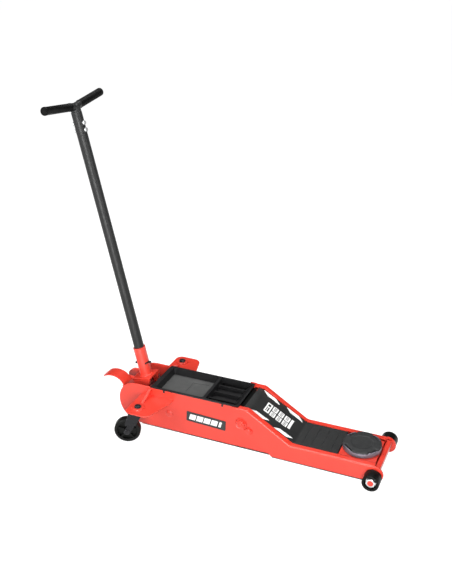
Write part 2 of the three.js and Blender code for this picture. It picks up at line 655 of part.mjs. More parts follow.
function buildHandle() {
  jack.add(handleFrame);
  const boltHeights = [HANDLE_LONG - 80, HANDLE_LONG - 56];
  const boltHoles = boltHeights.map((z) => rodX(4 + GAP, -40, 40, 0, z, 14));
  const tube = cut(
    rodZ(TUBE_R, 8, TUBE_TOP, 0, 0, 28), rodZ(TUBE_BORE, 0, TUBE_TOP + 5, 0, 0, 28),
    rodX(3.5 + GAP, -40, 40, 0, SLOT_AT, 14), ...boltHoles,
  );
  add('handle_tube', tube, tubePaint, handleFrame);
  add('handle_cross_pin', rodX(3.5, -SOCKET_R - 9.5, SOCKET_R + 9.5, 0, SLOT_AT, 14), zinc, handleFrame);
  const spigot = rodZ(SPIGOT.r, SPIGOT.low, HANDLE_LONG, 0, 0, 28);
  const neck = rodZ(NECK_R, TUBE_TOP + GAP, HANDLE_LONG + 4, 0, 0, 28);
  const long = GRIP_REACH / Math.cos(GRIP_RISE);
  const arms = SIDES.map(([, side]) => gripRod(side, GRIP_R, 0, long));
  const bores = SIDES.map(([, side]) => gripRod(side, GRIP_R - 2.5, 40, long + 2));
  const grips = cut(join(spigot, neck, ...arms), ...boltHoles, ...bores);
  add('handle_grip_bar', grips, tubePaint, handleFrame);
  const seat = TUBE_R + GAP;
  boltHeights.forEach((z, i) => {
    const heads = [[-seat - 6, -seat], [seat, seat + 6]].map(([x0, x1]) => rodX(7, x0, x1, 0, z, 6));
    add(`handle_bolt_${i + 1}`, join(rodX(4, -seat - 1, seat + 1, 0, z, 14), ...heads), zinc, handleFrame);
  });
  add('handle_yoke', handleYoke(), paint);
  add('yoke_pivot_pin', rodY(9, -78.9, 78.9, YOKE_PIVOT.x, YOKE_PIVOT.z), zinc);
}

const PEDAL_PIVOT = { x: -905, z: 75 };
const PEDAL_Y = [-78.9, -27];
const PEDAL_TIP = -1031;
const PEDAL_LEVER_Y = [-70, -58];

function pedalPlate() {
  const line = new THREE.CatmullRomCurve3([
    [-1034, 161], [-1016, 171.5], [-996, 176], [-978, 175], [-959, 167], [-947, 154], [-942, 143],
  ].map(([x, z]) => new THREE.Vector3(x, z, 0)));
  const along = line.getPoints(12);
  const over = along.map((point, i) => {
    const tangent = line.getTangent(i / 12);
    return [point.x - tangent.y * 2, point.y + tangent.x * 2];
  });
  const under = along.map((point, i) => {
    const tangent = line.getTangent(i / 12);
    return [point.x + tangent.y * 2, point.y - tangent.x * 2];
  });
  const [near, far] = PEDAL_Y;
  const plan = new THREE.Shape();
  plan.moveTo(-930, near - 1);
  plan.lineTo(PEDAL_TIP + 5, near - 1);
  plan.quadraticCurveTo(PEDAL_TIP - 5, (near + far) / 2, PEDAL_TIP + 5, far + 1);
  plan.lineTo(-930, far + 1);
  const plate = solid(plateXZ(polygon([...over, ...under.reverse()]), near, far));
  return plate.intersect(solid(slabXY(plan, 100, 200)));
}

function buildPedal() {
  add('foot_pedal', pedalPlate(), paint);
  const root = { x: -947.5, z: 135.3 };
  add('pedal_lever', cut(
    link(PEDAL_PIVOT, root, 14, 7, ...PEDAL_LEVER_Y),
    rodY(7 + GAP, -90, -30, PEDAL_PIVOT.x, PEDAL_PIVOT.z, 18),
  ), paint);
  add('pedal_pin', rodY(7, -78.9, -40, PEDAL_PIVOT.x, PEDAL_PIVOT.z, 18), zinc);
}

buildChassis();
buildHydraulics();
buildArm();
buildSaddle();
buildRunningGear();
buildHandle();
buildPedal();
jack.position.x = -ORIGIN_X;

export default jack;
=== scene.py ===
"""Looks for the hydraulic trolley jack. Lengths in the functions are millimetres in the jack's design
frame: X = 0 on the front axle, +X towards the saddle, +Y to the jack's left, +Z up."""
from math import atan2, cos, hypot, pi, radians, sin, sqrt, tan

import bmesh
import bpy
from mathutils import Matrix, Vector


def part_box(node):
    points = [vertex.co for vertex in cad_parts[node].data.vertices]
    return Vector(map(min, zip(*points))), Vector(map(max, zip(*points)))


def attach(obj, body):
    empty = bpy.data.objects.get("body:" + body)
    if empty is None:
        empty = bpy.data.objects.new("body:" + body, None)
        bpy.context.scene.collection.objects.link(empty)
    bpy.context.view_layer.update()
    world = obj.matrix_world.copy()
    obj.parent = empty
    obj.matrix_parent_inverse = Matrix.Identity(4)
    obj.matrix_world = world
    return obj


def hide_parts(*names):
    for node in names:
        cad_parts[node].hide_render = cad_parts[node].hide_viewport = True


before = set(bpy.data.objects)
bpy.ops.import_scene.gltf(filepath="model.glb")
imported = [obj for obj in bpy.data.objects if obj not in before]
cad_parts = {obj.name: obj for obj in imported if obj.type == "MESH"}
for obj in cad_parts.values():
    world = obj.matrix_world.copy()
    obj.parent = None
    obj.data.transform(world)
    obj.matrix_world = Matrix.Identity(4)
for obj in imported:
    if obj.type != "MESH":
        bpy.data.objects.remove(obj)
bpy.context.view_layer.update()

SCENE = bpy.context.scene
SIDES = (("l", 1), ("r", -1))
axle_low, axle_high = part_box("front_axle")
SHIFT = (axle_low.x + axle_high.x) * 500
TO_ROW = Matrix.Scale(0.001, 4) @ Matrix.Translation((SHIFT, 0, 0))

# Chassis, as in the CAD part
PLATE = 4.7
REAR_HALF = 84
FRONT_HALF = 95
INSIDE = REAR_HALF - PLATE - 0.4
FLANGE_IN = 73
FRAME_LOW = 5.5
FRAME_TOP = 164.5
FRAME_FALL = radians(-32.2)
TAIL = (-874, 92, 86.5)
TAIL_TOP = 167
CHEEK = (1.25, 36.25, 30.75)
TRUNNION = (-757, 74)
LABEL = (-611, 81)
LABEL_TILT = radians(-2.3)

# Lift arm, levelling links and hydraulics
PIVOT = (-472.7, 110.8)
PIN = (-75, 40)
LINK_PIVOT = (-443.7, 89.6)
LINK_PIN = (-46, 18.8)
COVER_R = 54
COVER_FALL = radians(-29.8)
COVER_TOP = 65.5
COVER_HALF = 70.5
COVER_START = 1.55
COVER_END = -134
LEVER = 62
LEVER_LEAN = radians(32)
LEVER_TIP = (PIVOT[0] - LEVER * sin(LEVER_LEAN), PIVOT[1] - LEVER * cos(LEVER_LEAN))
RAM_Z = 54
PUMP_Z = 88
VALVE = (-28, 60)
SADDLE_X = -66

# Wheels
ROLLER_R = 29.2
CASTER = (-830.5, 178.6)
TRAIL = 40
WHEEL_R = 47
CASTER_TURN = radians(20)
WING_TOP = 134.5

# Handle and pedal
LEAN = radians(13.1)
HANDLE_BASE = (-889.4, 158.5)
HANDLE_LONG = 1001
TUBE_TOP = 984
TUBE_R = 18.3
TUBE_BORE = 15.8
SOCKET_R = 22.5
NECK_R = 17.5
GRIP_RISE = radians(6.3)
GRIP_R = 13.5
GRIP_REACH = 173
YOKE_PIVOT = (-885, 118)
PEDAL_PIVOT = (-905, 75)


# ---- outlines

def corners(points, closed=True, steps=4):
    """Rounds each corner that carries a third number, its radius."""
    count = len(points)
    line = []
    for i, point in enumerate(points):
        here = Vector(point[:2])
        radius = point[2] if len(point) > 2 else 0
        if radius <= 0 or (not closed and i in (0, count - 1)):
            line.append(tuple(here))
            continue
        back = Vector(points[i - 1][:2]) - here
        ahead = Vector(points[(i + 1) % count][:2]) - here
        half = back.angle(ahead) / 2
        reach = min(radius / tan(half), 0.49 * back.length, 0.49 * ahead.length)
        radius = reach * tan(half)
        start = here + back.normalized() * reach
        end = here + ahead.normalized() * reach
        centre = here + (back.normalized() + ahead.normalized()).normalized() * hypot(reach, radius)
        first = atan2(*reversed(start - centre))
        turn = (atan2(*reversed(end - centre)) - first + pi) % (2 * pi) - pi
        line += arc(centre.x, centre.y, radius, first, first + turn, steps)
    return line


def arc(centre_x, centre_z, radius, start, end, steps=12):
    angles = [start + (end - start) * k / steps for k in range(steps + 1)]
    return [(centre_x + radius * cos(a), centre_z + radius * sin(a)) for a in angles]


def curve(start, pull, end, steps=10):
    """Smooth line from start to end, drawn towards the point between them."""
    a, b, c = Vector(start), Vector(pull), Vector(end)
    return [tuple(a.lerp(b, k / steps).lerp(b.lerp(c, k / steps), k / steps)) for k in range(steps + 1)]


def smooth_line(knots, steps):
    """Catmull-Rom curve through the knots."""
    pad = [knots[0], *knots, knots[-1]]
    line = []
    for a, b, c, d in zip(pad, pad[1:], pad[2:], pad[3:]):
        for k in range(steps):
            t = k / steps
            line.append(tuple(
                0.5 * (2 * q + (r - p) * t + (2 * p - 5 * q + 4 * r - s) * t ** 2
                       + (3 * q - p - 3 * r + s) * t ** 3)
                for p, q, r, s in zip(a, b, c, d)))
    return line + [knots[-1]]


def normals(line):
    """Unit vector to the left of an open line at each of its points."""
    found = []
    for i in range(len(line)):
        along = (Vector(line[min(i + 1, len(line) - 1)]) - Vector(line[max(i - 1, 0)])).normalized()
        found.append(Vector((-along.y, along.x)))
    return found


def both_sides(line, reach):
    """The open line moved to its left, and to its right."""
    pairs = [(Vector(point), normal * reach) for point, normal in zip(line, normals(line))]
    return [tuple(p + n) for p, n in pairs], [tuple(p - n) for p, n in pairs]


def circle(x, z, radius, steps=48):
    return arc(x, z, radius, 0, 2 * pi, steps)[:-1]


def hexagon(x, z, across, turn):
    return arc(x, z, across / sqrt(3), turn, turn + 2 * pi, 6)[:-1]


def rect(x0, x1, y0, y1, radius=0.0):
    return corners([(x0, y0, radius), (x1, y0, radius), (x1, y1, radius), (x0, y1, radius)])


def capsule(a, b, radius_a, radius_b, steps=10):
    """Bar with round ends between two points."""
    along = atan2(b[1] - a[1], b[0] - a[0])
    return (arc(*a, radius_a, along + pi / 2, along + 1.5 * pi, steps)
            + arc(*b, radius_b, along - pi / 2, along + pi / 2, steps))


def off_pivot(fall, away):
    """Point that lies straight out from the arm pivot to a plane that falls at the given angle."""
    return (PIVOT[0] + away * cos(fall + pi / 2), PIVOT[1] + away * sin(fall + pi / 2))


def on_slope(fall, away, z):
    """Point at height z of that plane."""
    x0, z0 = off_pivot(fall, away)
    return (x0 + (z - z0) / tan(fall), z)


def rod(low, high, radius, chamfer=1):
    """Profile of a pin with chamfered ends."""
    return [(0, low), (radius - chamfer, low), (radius, low + chamfer), (radius, high - chamfer),
            (radius - chamfer, high), (0, high)]


def ring(inner, outer, low, high):
    """Profile of a plain washer or tube."""
    return [(inner, low), (outer, low), (outer, high), (inner, high), (inner, low)]


# ---- placements: from a shape's own (u, v, depth) to the design frame

def side_on(u, v, depth):
    return (u, depth, v)


def flat_on(u, v, depth):
    return (u, v, depth)


def end_on(u, v, depth):
    return (depth, u, v)


def end_on_side(side):
    return lambda u, v, depth: (depth, side * u, v)


def about_x(y, z):
    return lambda u, v, depth: (depth, y + u, z + v)


def about_y(x, z):
    return lambda u, v, depth: (x + u, depth, z + v)


def about_z(x, y, base=0):
    return lambda u, v, depth: (x + u, y + v, base + depth)


def outward(centre, side, base=0):
    """Depth runs from the middle plane, or from base, out to one side."""
    return lambda u, v, depth: (centre[0] + u, side * (base + depth), centre[1] + v)


def handle_frame(u, v, depth):
    """Depth runs up the handle from the base of its socket, u points forward and v to the left."""
    return (HANDLE_BASE[0] + u * cos(LEAN) - depth * sin(LEAN), v,
            HANDLE_BASE[1] + u * sin(LEAN) + depth * cos(LEAN))


def handle_across(height):
    """Depth runs forward across the handle at a height on it."""
    return lambda u, v, depth: handle_frame(depth, u, height + v)


def grip_place(side):
    """Depth runs out along a grip arm."""
    return lambda u, v, depth: handle_frame(
        u, side * (depth * cos(GRIP_RISE) - v * sin(GRIP_RISE)),
        HANDLE_LONG + depth * sin(GRIP_RISE) + v * cos(GRIP_RISE))


def caster_turned(side, place):
    """Place turned about the caster bolt, as the fork and its wheel stand."""
    x, y = CASTER[0], side * CASTER[1]
    c, s = cos(-side * CASTER_TURN), sin(-side * CASTER_TURN)

    def turned(u, v, depth):
        px, py, pz = place(u, v, depth)
        return (x + (px - x) * c - (py - y) * s, y + (px - x) * s + (py - y) * c, pz)
    return turned


# ---- solids

def prism(outline, low, high, place=side_on, draft=0.0):
    """Outline given thickness. Draft narrows it at the low end."""
    middle = Vector((sum(p[0] for p in outline), sum(p[1] for p in outline))) / len(outline)
    bm = bmesh.new()
    rings = []
    for depth, scale in ((low, 1 - draft), (high, 1)):
        rings.append([
            bm.verts.new(place(middle.x + (u - middle.x) * scale, middle.y + (v - middle.y) * scale, depth))
            for u, v in outline
        ])
    bm.faces.new(rings[0])
    bm.faces.new(rings[1][::-1])
    skin(bm, rings)
    return tidy(bm)


def skin(bm, rings):
    for one, other in zip(rings, rings[1:]):
        count = len(one)
        for k in range(count):
            after = (k + 1) % count
            bm.faces.new((one[k], one[after], other[after], other[k]))


def tidy(bm):
    bmesh.ops.remove_doubles(bm, verts=bm.verts, dist=1e-4)
    bmesh.ops.recalc_face_normals(bm, faces=bm.faces)
    return bm


def lathe(profile, place, steps=64, shape=None):
    """Turns (radius, height) pairs round an axis; shape may change a point by its angle."""
    bm = bmesh.new()
    lines = []
    for k in range(steps):
        angle = 2 * pi * k / steps
        line = []
        for i, (radius, height) in enumerate(profile):
            if shape:
                radius, height = shape(i, radius, height, angle)
            line.append(bm.verts.new(place(radius * cos(angle), radius * sin(angle), height)))
        lines.append(line)
    for k in range(steps):
        line, other = lines[k], lines[(k + 1) % steps]
        for i in range(len(profile) - 1):
            bm.faces.new((line[i], other[i], other[i + 1], line[i + 1]))
    bmesh.ops.remove_doubles(bm, verts=bm.verts, dist=1e-4)
    bmesh.ops.dissolve_degenerate(bm, edges=bm.edges, dist=1e-5)
    bmesh.ops.recalc_face_normals(bm, faces=bm.faces)
    return bm


def sweep(path, radius, sides=12, ripple=0.0, pitch=5.0):
    """Round bar along a path, closed at its ends; ripple swells it as a weld bead does."""
    points = [Vector(p) for p in path]
    bm = bmesh.new()
    normal = None
    rings = []
    travelled = 0.0
    for i, point in enumerate(points):
        tangent = (points[min(i + 1, len(points) - 1)] - points[max(i - 1, 0)]).normalized()
        if normal is None:
            normal = tangent.orthogonal().normalized()
        normal = (normal - tangent * normal.dot(tangent)).normalized()
        other = tangent.cross(normal)
        if i:
            travelled += (point - points[i - 1]).length
        size = radius * (1 + ripple * sin(2 * pi * travelled / pitch))
        rings.append([
            bm.verts.new(point + (normal * cos(2 * pi * k / sides) + other * sin(2 * pi * k / sides)) * size)
            for k in range(sides)
        ])
    skin(bm, rings)
    bm.faces.new(rings[0])
    bm.faces.new(rings[-1])
    return tidy(bm)


def straight(a, b, step=1.2):
    a, b = Vector(a), Vector(b)
    count = max(2, int((b - a).length / step))
    return [a.lerp(b, k / count) for k in range(count + 1)]


def merged(*parts):
    """Several closed bodies as one mesh."""
    whole = bmesh.new()
    for part in parts:
        mesh = bpy.data.meshes.new("part")
        part.to_mesh(mesh)
        part.free()
        whole.from_mesh(mesh)
        bpy.data.meshes.remove(mesh)
    return whole


def placed(name, bm):
    """The mesh as an object in the scene."""
    mesh = bpy.data.meshes.new(name)
    bm.to_mesh(mesh)
    bm.free()
    obj = bpy.data.objects.new(name, mesh)
    SCENE.collection.objects.link(obj)
    return obj


def worked(obj):
    """The object's mesh with its modifiers applied, as a bmesh; the object goes."""
    bpy.context.view_layer.update()
    mesh = bpy.data.meshes.new_from_object(obj.evaluated_get(bpy.context.evaluated_depsgraph_get()))
    bm = bmesh.new()
    bm.from_mesh(mesh)
    bpy.data.meshes.remove(mesh)
    bpy.data.objects.remove(obj)
    return bm


def boolean(bm, *tools, operation="DIFFERENCE"):
    for tool in tools:
        obj = placed("temporary", bm)
        other = placed("temporary", tool)
        modifier = obj.modifiers.new("boolean", "BOOLEAN")
        modifier.operation = operation
        modifier.object = other
        modifier.solver = "EXACT"
        bm = worked(obj)
        bpy.data.objects.remove(other)
    bmesh.ops.remove_doubles(bm, verts=bm.verts, dist=2e-3)
    bmesh.ops.dissolve_limit(bm, angle_limit=radians(0.5), verts=bm.verts, edges=bm.edges)
    return bm


def piece(name, bm, material, node=None, body="root", bevel=0.8, segments=2, angle=32):
    """Makes the finished piece, moves it to the row frame and has it ride on its body."""
    bm.transform(TO_ROW)
    obj = placed(name, bm)
    mesh = obj.data
    mesh.materials.append(material)
    mesh.polygons.foreach_set("use_smooth", [True] * len(mesh.polygons))
    if bevel:
        modifier = obj.modifiers.new("edges", "BEVEL")
        modifier.width = bevel / 1000
        modifier.segments = segments
        modifier.limit_method = "ANGLE"
        modifier.angle_limit = radians(angle)
        modifier.harden_normals = True
        modifier.miter_outer = "MITER_ARC"
    else:
        mesh.set_sharp_from_angle(angle=radians(angle))
    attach(obj, body)
    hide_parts(*([node] if node else []))
    return obj


def second_material(obj, material, chosen):
    """Gives another material to the faces that the test picks."""
    obj.data.materials.append(material)
    for face in obj.data.polygons:
        if chosen(face):
            face.material_index = 1


def nut(name, centre, side, face, across, high, washer, material, node, bore):
    """Hexagon nut or bolt head with turned corners, on a round washer."""
    place = outward(centre, side, face)
    reach = across / sqrt(3)
    block = prism(hexagon(0, 0, across, 0.3), 0, high, place)
    crown = lathe([(0, -5), (reach * 1.3, -5), (reach * 1.3, high - reach * 0.25),
                   (reach * 0.86, high + 0.05), (0, high + 0.05)], place, 48)
    block = boolean(block, crown, operation="INTERSECT")
    if bore:
        block = boolean(block, prism(circle(0, 0, bore), -3, high + 3, place))
    piece(name, merged(block, lathe(ring(bore, washer, 0, 1.6), place, 48)), material, node, bevel=0.35)


# ---- materials


class Nodes:
    """Short way to build a node tree; slot, the record's material slot that it stands for, is not used."""

    def __init__(self, name, slot, **fixed):
        self.material = bpy.data.materials.new(name)
        self.material.use_nodes = True
        self.tree = self.material.node_tree
        self.tree.nodes.clear()
        output = self.tree.nodes.new("ShaderNodeOutputMaterial")
        self.shader = self.tree.nodes.new("ShaderNodeBsdfPrincipled")
        self.tree.links.new(self.shader.outputs[0], output.inputs[0])
        self.object = self.tree.nodes.new("ShaderNodeTexCoord").outputs["Object"]
        for key, value in fixed.items():
            self.shader.inputs[key.replace("_", " ")].default_value = value

    def new(self, kind, links=(), **values):
        node = self.tree.nodes.new("ShaderNode" + kind)
        for key, value in values.items():
            if hasattr(node, key):
                setattr(node, key, value)
            else:
                node.inputs[key].default_value = value
        for key, source in dict(links).items():
            self.tree.links.new(source, node.inputs[key])
        return node

    def noise(self, scale, detail, roughness=0.55, vector=None):
        node = self.new("TexNoise", {"Vector": vector or self.object}, Scale=scale, Detail=detail,
                        Roughness=roughness)
        return node.outputs["Fac"]

    def stretch(self, x, y, z):
        return self.new("Mapping", {"Vector": self.object}, Scale=(x, y, z)).outputs[0]

    def span(self, source, low, high, to_low, to_high, kind="LINEAR"):
        node = self.new("MapRange", {"Value": source}, interpolation_type=kind)
        for key, value in (("From Min", low), ("From Max", high), ("To Min", to_low), ("To Max", to_high)):
            node.inputs[key].default_value = value
        return node.outputs[0]

    def cloud(self, scale, detail, low, high):
        """Noise spread between two values."""
        return self.span(self.noise(scale, detail), 0.3, 0.7, low, high)

    def mix(self, factor, a, b):
        node = self.new("Mix", {0: factor}, data_type="RGBA")
        for socket, value in zip((node.inputs[6], node.inputs[7]), (a, b)):
            if isinstance(value, tuple):
                socket.default_value = (*value, 1)
            else:
                self.tree.links.new(value, socket)
        return node.outputs[2]

    def edges(self, radius=0.0012):
        """Mask that is 1 on worn edges, broken up by noise."""
        bevel = self.new("Bevel", samples=4, Radius=radius)
        geometry = self.new("NewGeometry")
        dot = self.new("VectorMath", {0: bevel.outputs[0], 1: geometry.outputs["Normal"]},
                       operation="DOT_PRODUCT")
        worn = self.span(dot.outputs["Value"], 0.985, 0.9, 0, 1)
        broken = self.span(self.noise(240, 4), 0.42, 0.62, 0, 1, "SMOOTHSTEP")
        return self.new("Math", {0: worn, 1: broken}, operation="MULTIPLY").outputs[0]

    def bump(self, height, strength, distance):
        return self.new("Bump", {"Height": height}, Strength=strength, Distance=distance).outputs[0]

    def finish(self, colour, roughness, normal):
        for key, source in (("Base Color", colour), ("Roughness", roughness), ("Normal", normal)):
            self.tree.links.new(source, self.shader.inputs[key])
        return self.material


def red_paint():
    """Glossy powder coat with a little orange peel."""
    base = (0.72, 0.045, 0.026)
    n = Nodes("red_powder_coat", "red_paint", Specular_IOR_Level=0.5, Coat_Weight=0.30, Coat_Roughness=0.20)
    coat = n.mix(n.cloud(9, 3, 0, 1), tuple(c * 0.90 for c in base), base)
    colour = n.mix(n.edges(), coat, tuple(c * 1.05 + 0.02 for c in base))
    return n.finish(colour, n.cloud(55, 4, 0.30, 0.42), n.bump(n.noise(520, 2, 0.4), 0.16, 0.00012))


def moulded_plastic(name, slot, base, rough, grain=900, specular=0.5):
    n = Nodes(name, slot, Specular_IOR_Level=specular)
    skin_colour = n.mix(n.cloud(14, 3, 0, 1), base, tuple(c * 1.25 + 0.002 for c in base))
    colour = n.mix(n.edges(0.0009), skin_colour, tuple(c * 1.6 + 0.012 for c in base))
    return n.finish(colour, n.cloud(70, 4, *rough), n.bump(n.noise(grain, 2, 0.5), 0.35, 0.00006))


def tube_coat():
    """Satin dark grey coat with faint lengthwise drawing marks."""
    n = Nodes("tube_satin_coat", "tube_paint", Specular_IOR_Level=0.3)
    marks = n.span(n.noise(60, 3, 0.6, n.stretch(30, 30, 1.2)), 0.3, 0.7, 0, 1)
    base = n.mix(marks, (0.009, 0.0095, 0.0095), (0.015, 0.0155, 0.0155))
    colour = n.mix(n.edges(), base, (0.13, 0.13, 0.13))
    return n.finish(colour, n.cloud(80, 4, 0.38, 0.50), n.bump(n.noise(700, 2), 0.12, 0.00006))


def soft_rubber(name, base, rough, specular):
    n = Nodes(name, "pad_rubber", Specular_IOR_Level=specular)
    dust = n.span(n.noise(35, 5), 0.45, 0.75, 0, 0.5)
    colour = n.mix(dust, base, tuple(c * 1.5 + 0.006 for c in base))
    return n.finish(colour, n.cloud(90, 4, *rough), n.bump(n.noise(1300, 2), 0.3, 0.00008))


def zinc_plate():
    n = Nodes("zinc_plated_steel", "zinc_steel", Metallic=1.0)
    cloud = n.span(n.noise(160, 4, 0.6), 0.3, 0.7, 0, 1)
    colour = n.mix(cloud, (0.50, 0.51, 0.52), (0.74, 0.75, 0.74))
    return n.finish(colour, n.cloud(300, 3, 0.38, 0.52), n.bump(n.noise(900, 3), 0.15, 0.00006))


def machined_rod():
    """Ground steel with fine rings round its length."""
    n = Nodes("ground_steel_rod", "zinc_steel", Metallic=1.0)
    rings = n.noise(500, 2, 0.5, n.stretch(6, 0.4, 0.4))
    colour = n.mix(rings, (0.55, 0.56, 0.57), (0.72, 0.72, 0.73))
    return n.finish(colour, n.span(rings, 0.3, 0.7, 0.14, 0.28), n.bump(rings, 0.12, 0.00005))


def grey_iron():
    """Cast grey-violet metal of the saddle bowl and the pump."""
    n = Nodes("grey_phosphate_iron", "grey_iron", Metallic=0.75)
    cast = n.noise(420, 4, 0.6)
    tone = n.mix(n.cloud(30, 4, 0, 1), (0.15, 0.14, 0.17), (0.23, 0.22, 0.26))
    colour = n.mix(n.edges(), tone, (0.42, 0.41, 0.44))
    return n.finish(colour, n.span(cast, 0.3, 0.7, 0.38, 0.60), n.bump(cast, 0.25, 0.00015))


def black_oxide():
    n = Nodes("black_oxide_steel", "black_bolt", Specular_IOR_Level=0.2)
    tone = n.mix(n.cloud(120, 4, 0, 1), (0.006, 0.006, 0.007), (0.014, 0.014, 0.016))
    colour = n.mix(n.edges(), tone, (0.16, 0.16, 0.17))
    return n.finish(colour, n.cloud(200, 3, 0.30, 0.46), n.bump(n.noise(800, 2), 0.2, 0.00006))


def white_print():
    n = Nodes("white_screen_print", "black_plastic")
    worn = n.span(n.noise(420, 5, 0.7), 0.62, 0.78, 0, 0.6, "SMOOTHSTEP")
    colour = n.mix(worn, (0.86, 0.86, 0.85), (0.55, 0.55, 0.54))
    return n.finish(colour, n.cloud(120, 3, 0.42, 0.55), n.bump(n.noise(900, 2), 0.15, 0.00004))


RED = red_paint()
COVER = moulded_plastic("cover_plastic", "black_plastic", (0.011, 0.0115, 0.0115), (0.44, 0.56))
TRAY_PLASTIC = moulded_plastic("tray_plastic", "black_plastic", (0.005, 0.005, 0.0055), (0.36, 0.48))
TRAY_FLOOR = moulded_plastic("tray_floor_plastic", "black_plastic", (0.060, 0.061, 0.060), (0.50, 0.62),
                             grain=1400)
WHEEL = moulded_plastic("wheel_nylon", "wheel_plastic", (0.0035, 0.0038, 0.0035), (0.34, 0.46), grain=600,
                        specular=0.12)
TUBE = tube_coat()
PAD = soft_rubber("pad_rubber", (0.021, 0.022, 0.0225), (0.55, 0.72), 0.3)
GRIP = soft_rubber("grip_rubber", (0.002, 0.002, 0.002), (0.42, 0.58), 0.08)
ZINC = zinc_plate()
ROD = machined_rod()
IRON = grey_iron()
BLACK = black_oxide()
PRINT = white_print()


# ---- chassis

def rear_side_plate(tag, side):
    shoulder = radians(138)
    outline = corners([(-350, FRAME_LOW, 4), (-350, 60, 6), (-400, 110, 6),
                       on_slope(FRAME_FALL, 52, FRAME_TOP - 12), (-488, FRAME_TOP - 3), (-492, FRAME_TOP),
                       (-831, FRAME_TOP), (-833, TAIL_TOP)])
    end = (TAIL[0] + TAIL[2] * cos(shoulder), TAIL[1] + TAIL[2] * sin(shoulder))
    outline += curve((-885, TAIL_TOP), (-917, TAIL_TOP), end)
    outline += arc(*TAIL, shoulder, 1.5 * pi, 40)[1:]
    plate = prism(outline, side * (REAR_HALF - PLATE), side * REAR_HALF)
    piece(f"rear_side_panel_{tag}", plate, RED, f"rear_side_plate_{tag}", bevel=1.0, segments=3)


def bent_edge():
    """Top line of a front plate with, at each point, its bend radius and its flange's inner edge."""
    top = FRAME_TOP + 3
    slope_top = on_slope(FRAME_FALL, 60, top)
    slope_foot = on_slope(FRAME_FALL, 60, 66)
    line = [(-511, top), (-500, top), (-488.5, top), (-486.5, top), (-470, top)]
    line += corners([(-470, top), (*slope_top, 22), (*slope_foot, 30), (-40, 66.7)],
                    closed=False, steps=8)[1:]
    line += [(-24, 66.9), (-4, 67), (-0.6, 67)]
    line += arc(*CHEEK, pi / 2, -pi / 2, 24)
    rows = []
    for x, z in line:
        flanged = -487 < x < 0 and z > 60
        rows.append((x, z, 5.5 if flanged else 1.2, FLANGE_IN if flanged else FRONT_HALF - 4.5))
    return rows


def front_side_plate(tag, side):
    rows = bent_edge()
    bm = bmesh.new()
    rings = []
    for (x, z, radius, inner), normal in zip(rows, normals([row[:2] for row in rows])):
        section = [(inner, 0.0)]
        section += [(FRONT_HALF - radius + radius * sin(k * pi / 12), radius - radius * cos(k * pi / 12))
                    for k in range(7)]
        rings.append([bm.verts.new((x - normal.x * drop, side * y, z - normal.y * drop))
                      for y, drop in section])
    for one, other in zip(rings, rings[1:]):
        for k in range(len(one) - 1):
            bm.faces.new((one[k], one[k + 1], other[k + 1], other[k]))
    foot = corners([(-359, FRAME_LOW, 4), (-368, 14, 6), (-496, 90, 12), (-517, 115, 10), (-511, 160)],
                   closed=False)
    foot = [bm.verts.new((x, side * FRONT_HALF, z)) for x, z in foot[:-1]]
    bm.faces.new([row[-1] for row in rings] + foot)
    bmesh.ops.recalc_face_normals(bm, faces=bm.faces)
    wall = max(bm.faces, key=lambda face: face.calc_area())
    if wall.normal.y * side < 0:
        bmesh.ops.reverse_faces(bm, faces=bm.faces)
    obj = placed("temporary", bm)
    thick = obj.modifiers.new("thickness", "SOLIDIFY")
    thick.thickness = PLATE - 0.3
    thick.offset = -1
    thick.use_even_offset = True
    plate = worked(obj)
    bmesh.ops.remove_doubles(plate, verts=plate.verts, dist=0.02)
    # Shallow dishes round the main nut and the link bolt
    for centre, deep, inner, outer, steps in ((PIVOT, 2.2, 19.5, 23, 64), (LINK_PIVOT, 1.6, 13, 15.5, 40)):
        dish = [(0, -deep), (inner, -deep), (outer, 0.05), (outer, 3), (0, 3)]
        plate = boolean(plate, lathe(dish, outward(centre, side, FRONT_HALF), steps))
    # Fills the gap to the rear plate where the two lap
    spacer = prism([(-397, 38), (-493, 94), (-512, 117), (-506, FRAME_TOP + 1), (-447, FRAME_TOP + 1),
                    (-397, 132)], side * (REAR_HALF + 0.1), side * (FRONT_HALF - 4))
    piece(f"front_side_panel_{tag}", merged(plate, spacer), RED, f"front_side_plate_{tag}", bevel=0.7)


def caster_wing(tag, side):
    inner = REAR_HALF + 0.2
    outline = corners([(-866, inner), (-866, 220, 24), (-772, 220, 30), (-738, inner)], steps=8)
    wing = prism(outline, WING_TOP - 5, WING_TOP, lambda u, v, depth: (u, side * v, depth))
    boss = lathe([(0, -1), (23, -1), (22.6, 1), (22, 3.4), (20.8, 4.5), (0, 4.5)],
                 about_z(CASTER[0], side * CASTER[1], WING_TOP), 56)
    gusset = prism(
        corners([(inner, WING_TOP - 1), (154, WING_TOP - 1), (150, WING_TOP + 2, 3),
                 (inner + 3, FRAME_TOP - 3, 3), (inner, FRAME_TOP - 3)]),
        CASTER[0] - 5, CASTER[0] + 5, end_on_side(side))
    wing = merged(wing, boss, gusset)
    piece(f"caster_wing_{tag}", wing, RED, f"caster_bracket_{tag}", bevel=1.2, segments=3)
    line = straight((-864, side * inner, WING_TOP + 0.2), (-741, side * inner, WING_TOP + 0.2))
    piece(f"caster_wing_weld_{tag}", sweep(line, 2.2, 10, 0.05, 7), RED, bevel=0)


def trunnion_cap(tag, side):
    cap = lathe([(0, -0.5), (14.6, -0.5), (14.4, 0.35), (13.6, 0.6), (13.2, 0.5), (12.9, 1.3), (11.6, 2.0),
                 (0, 2.2)], outward(TRUNNION, side, REAR_HALF), 56)
    piece(f"side_cap_{tag}", cap, RED, f"trunnion_cap_{tag}", bevel=0, angle=50)


def on_label(u, v):
    c, s = cos(LABEL_TILT), sin(LABEL_TILT)
    return (LABEL[0] + u * c - v * s, LABEL[1] + u * s + v * c)


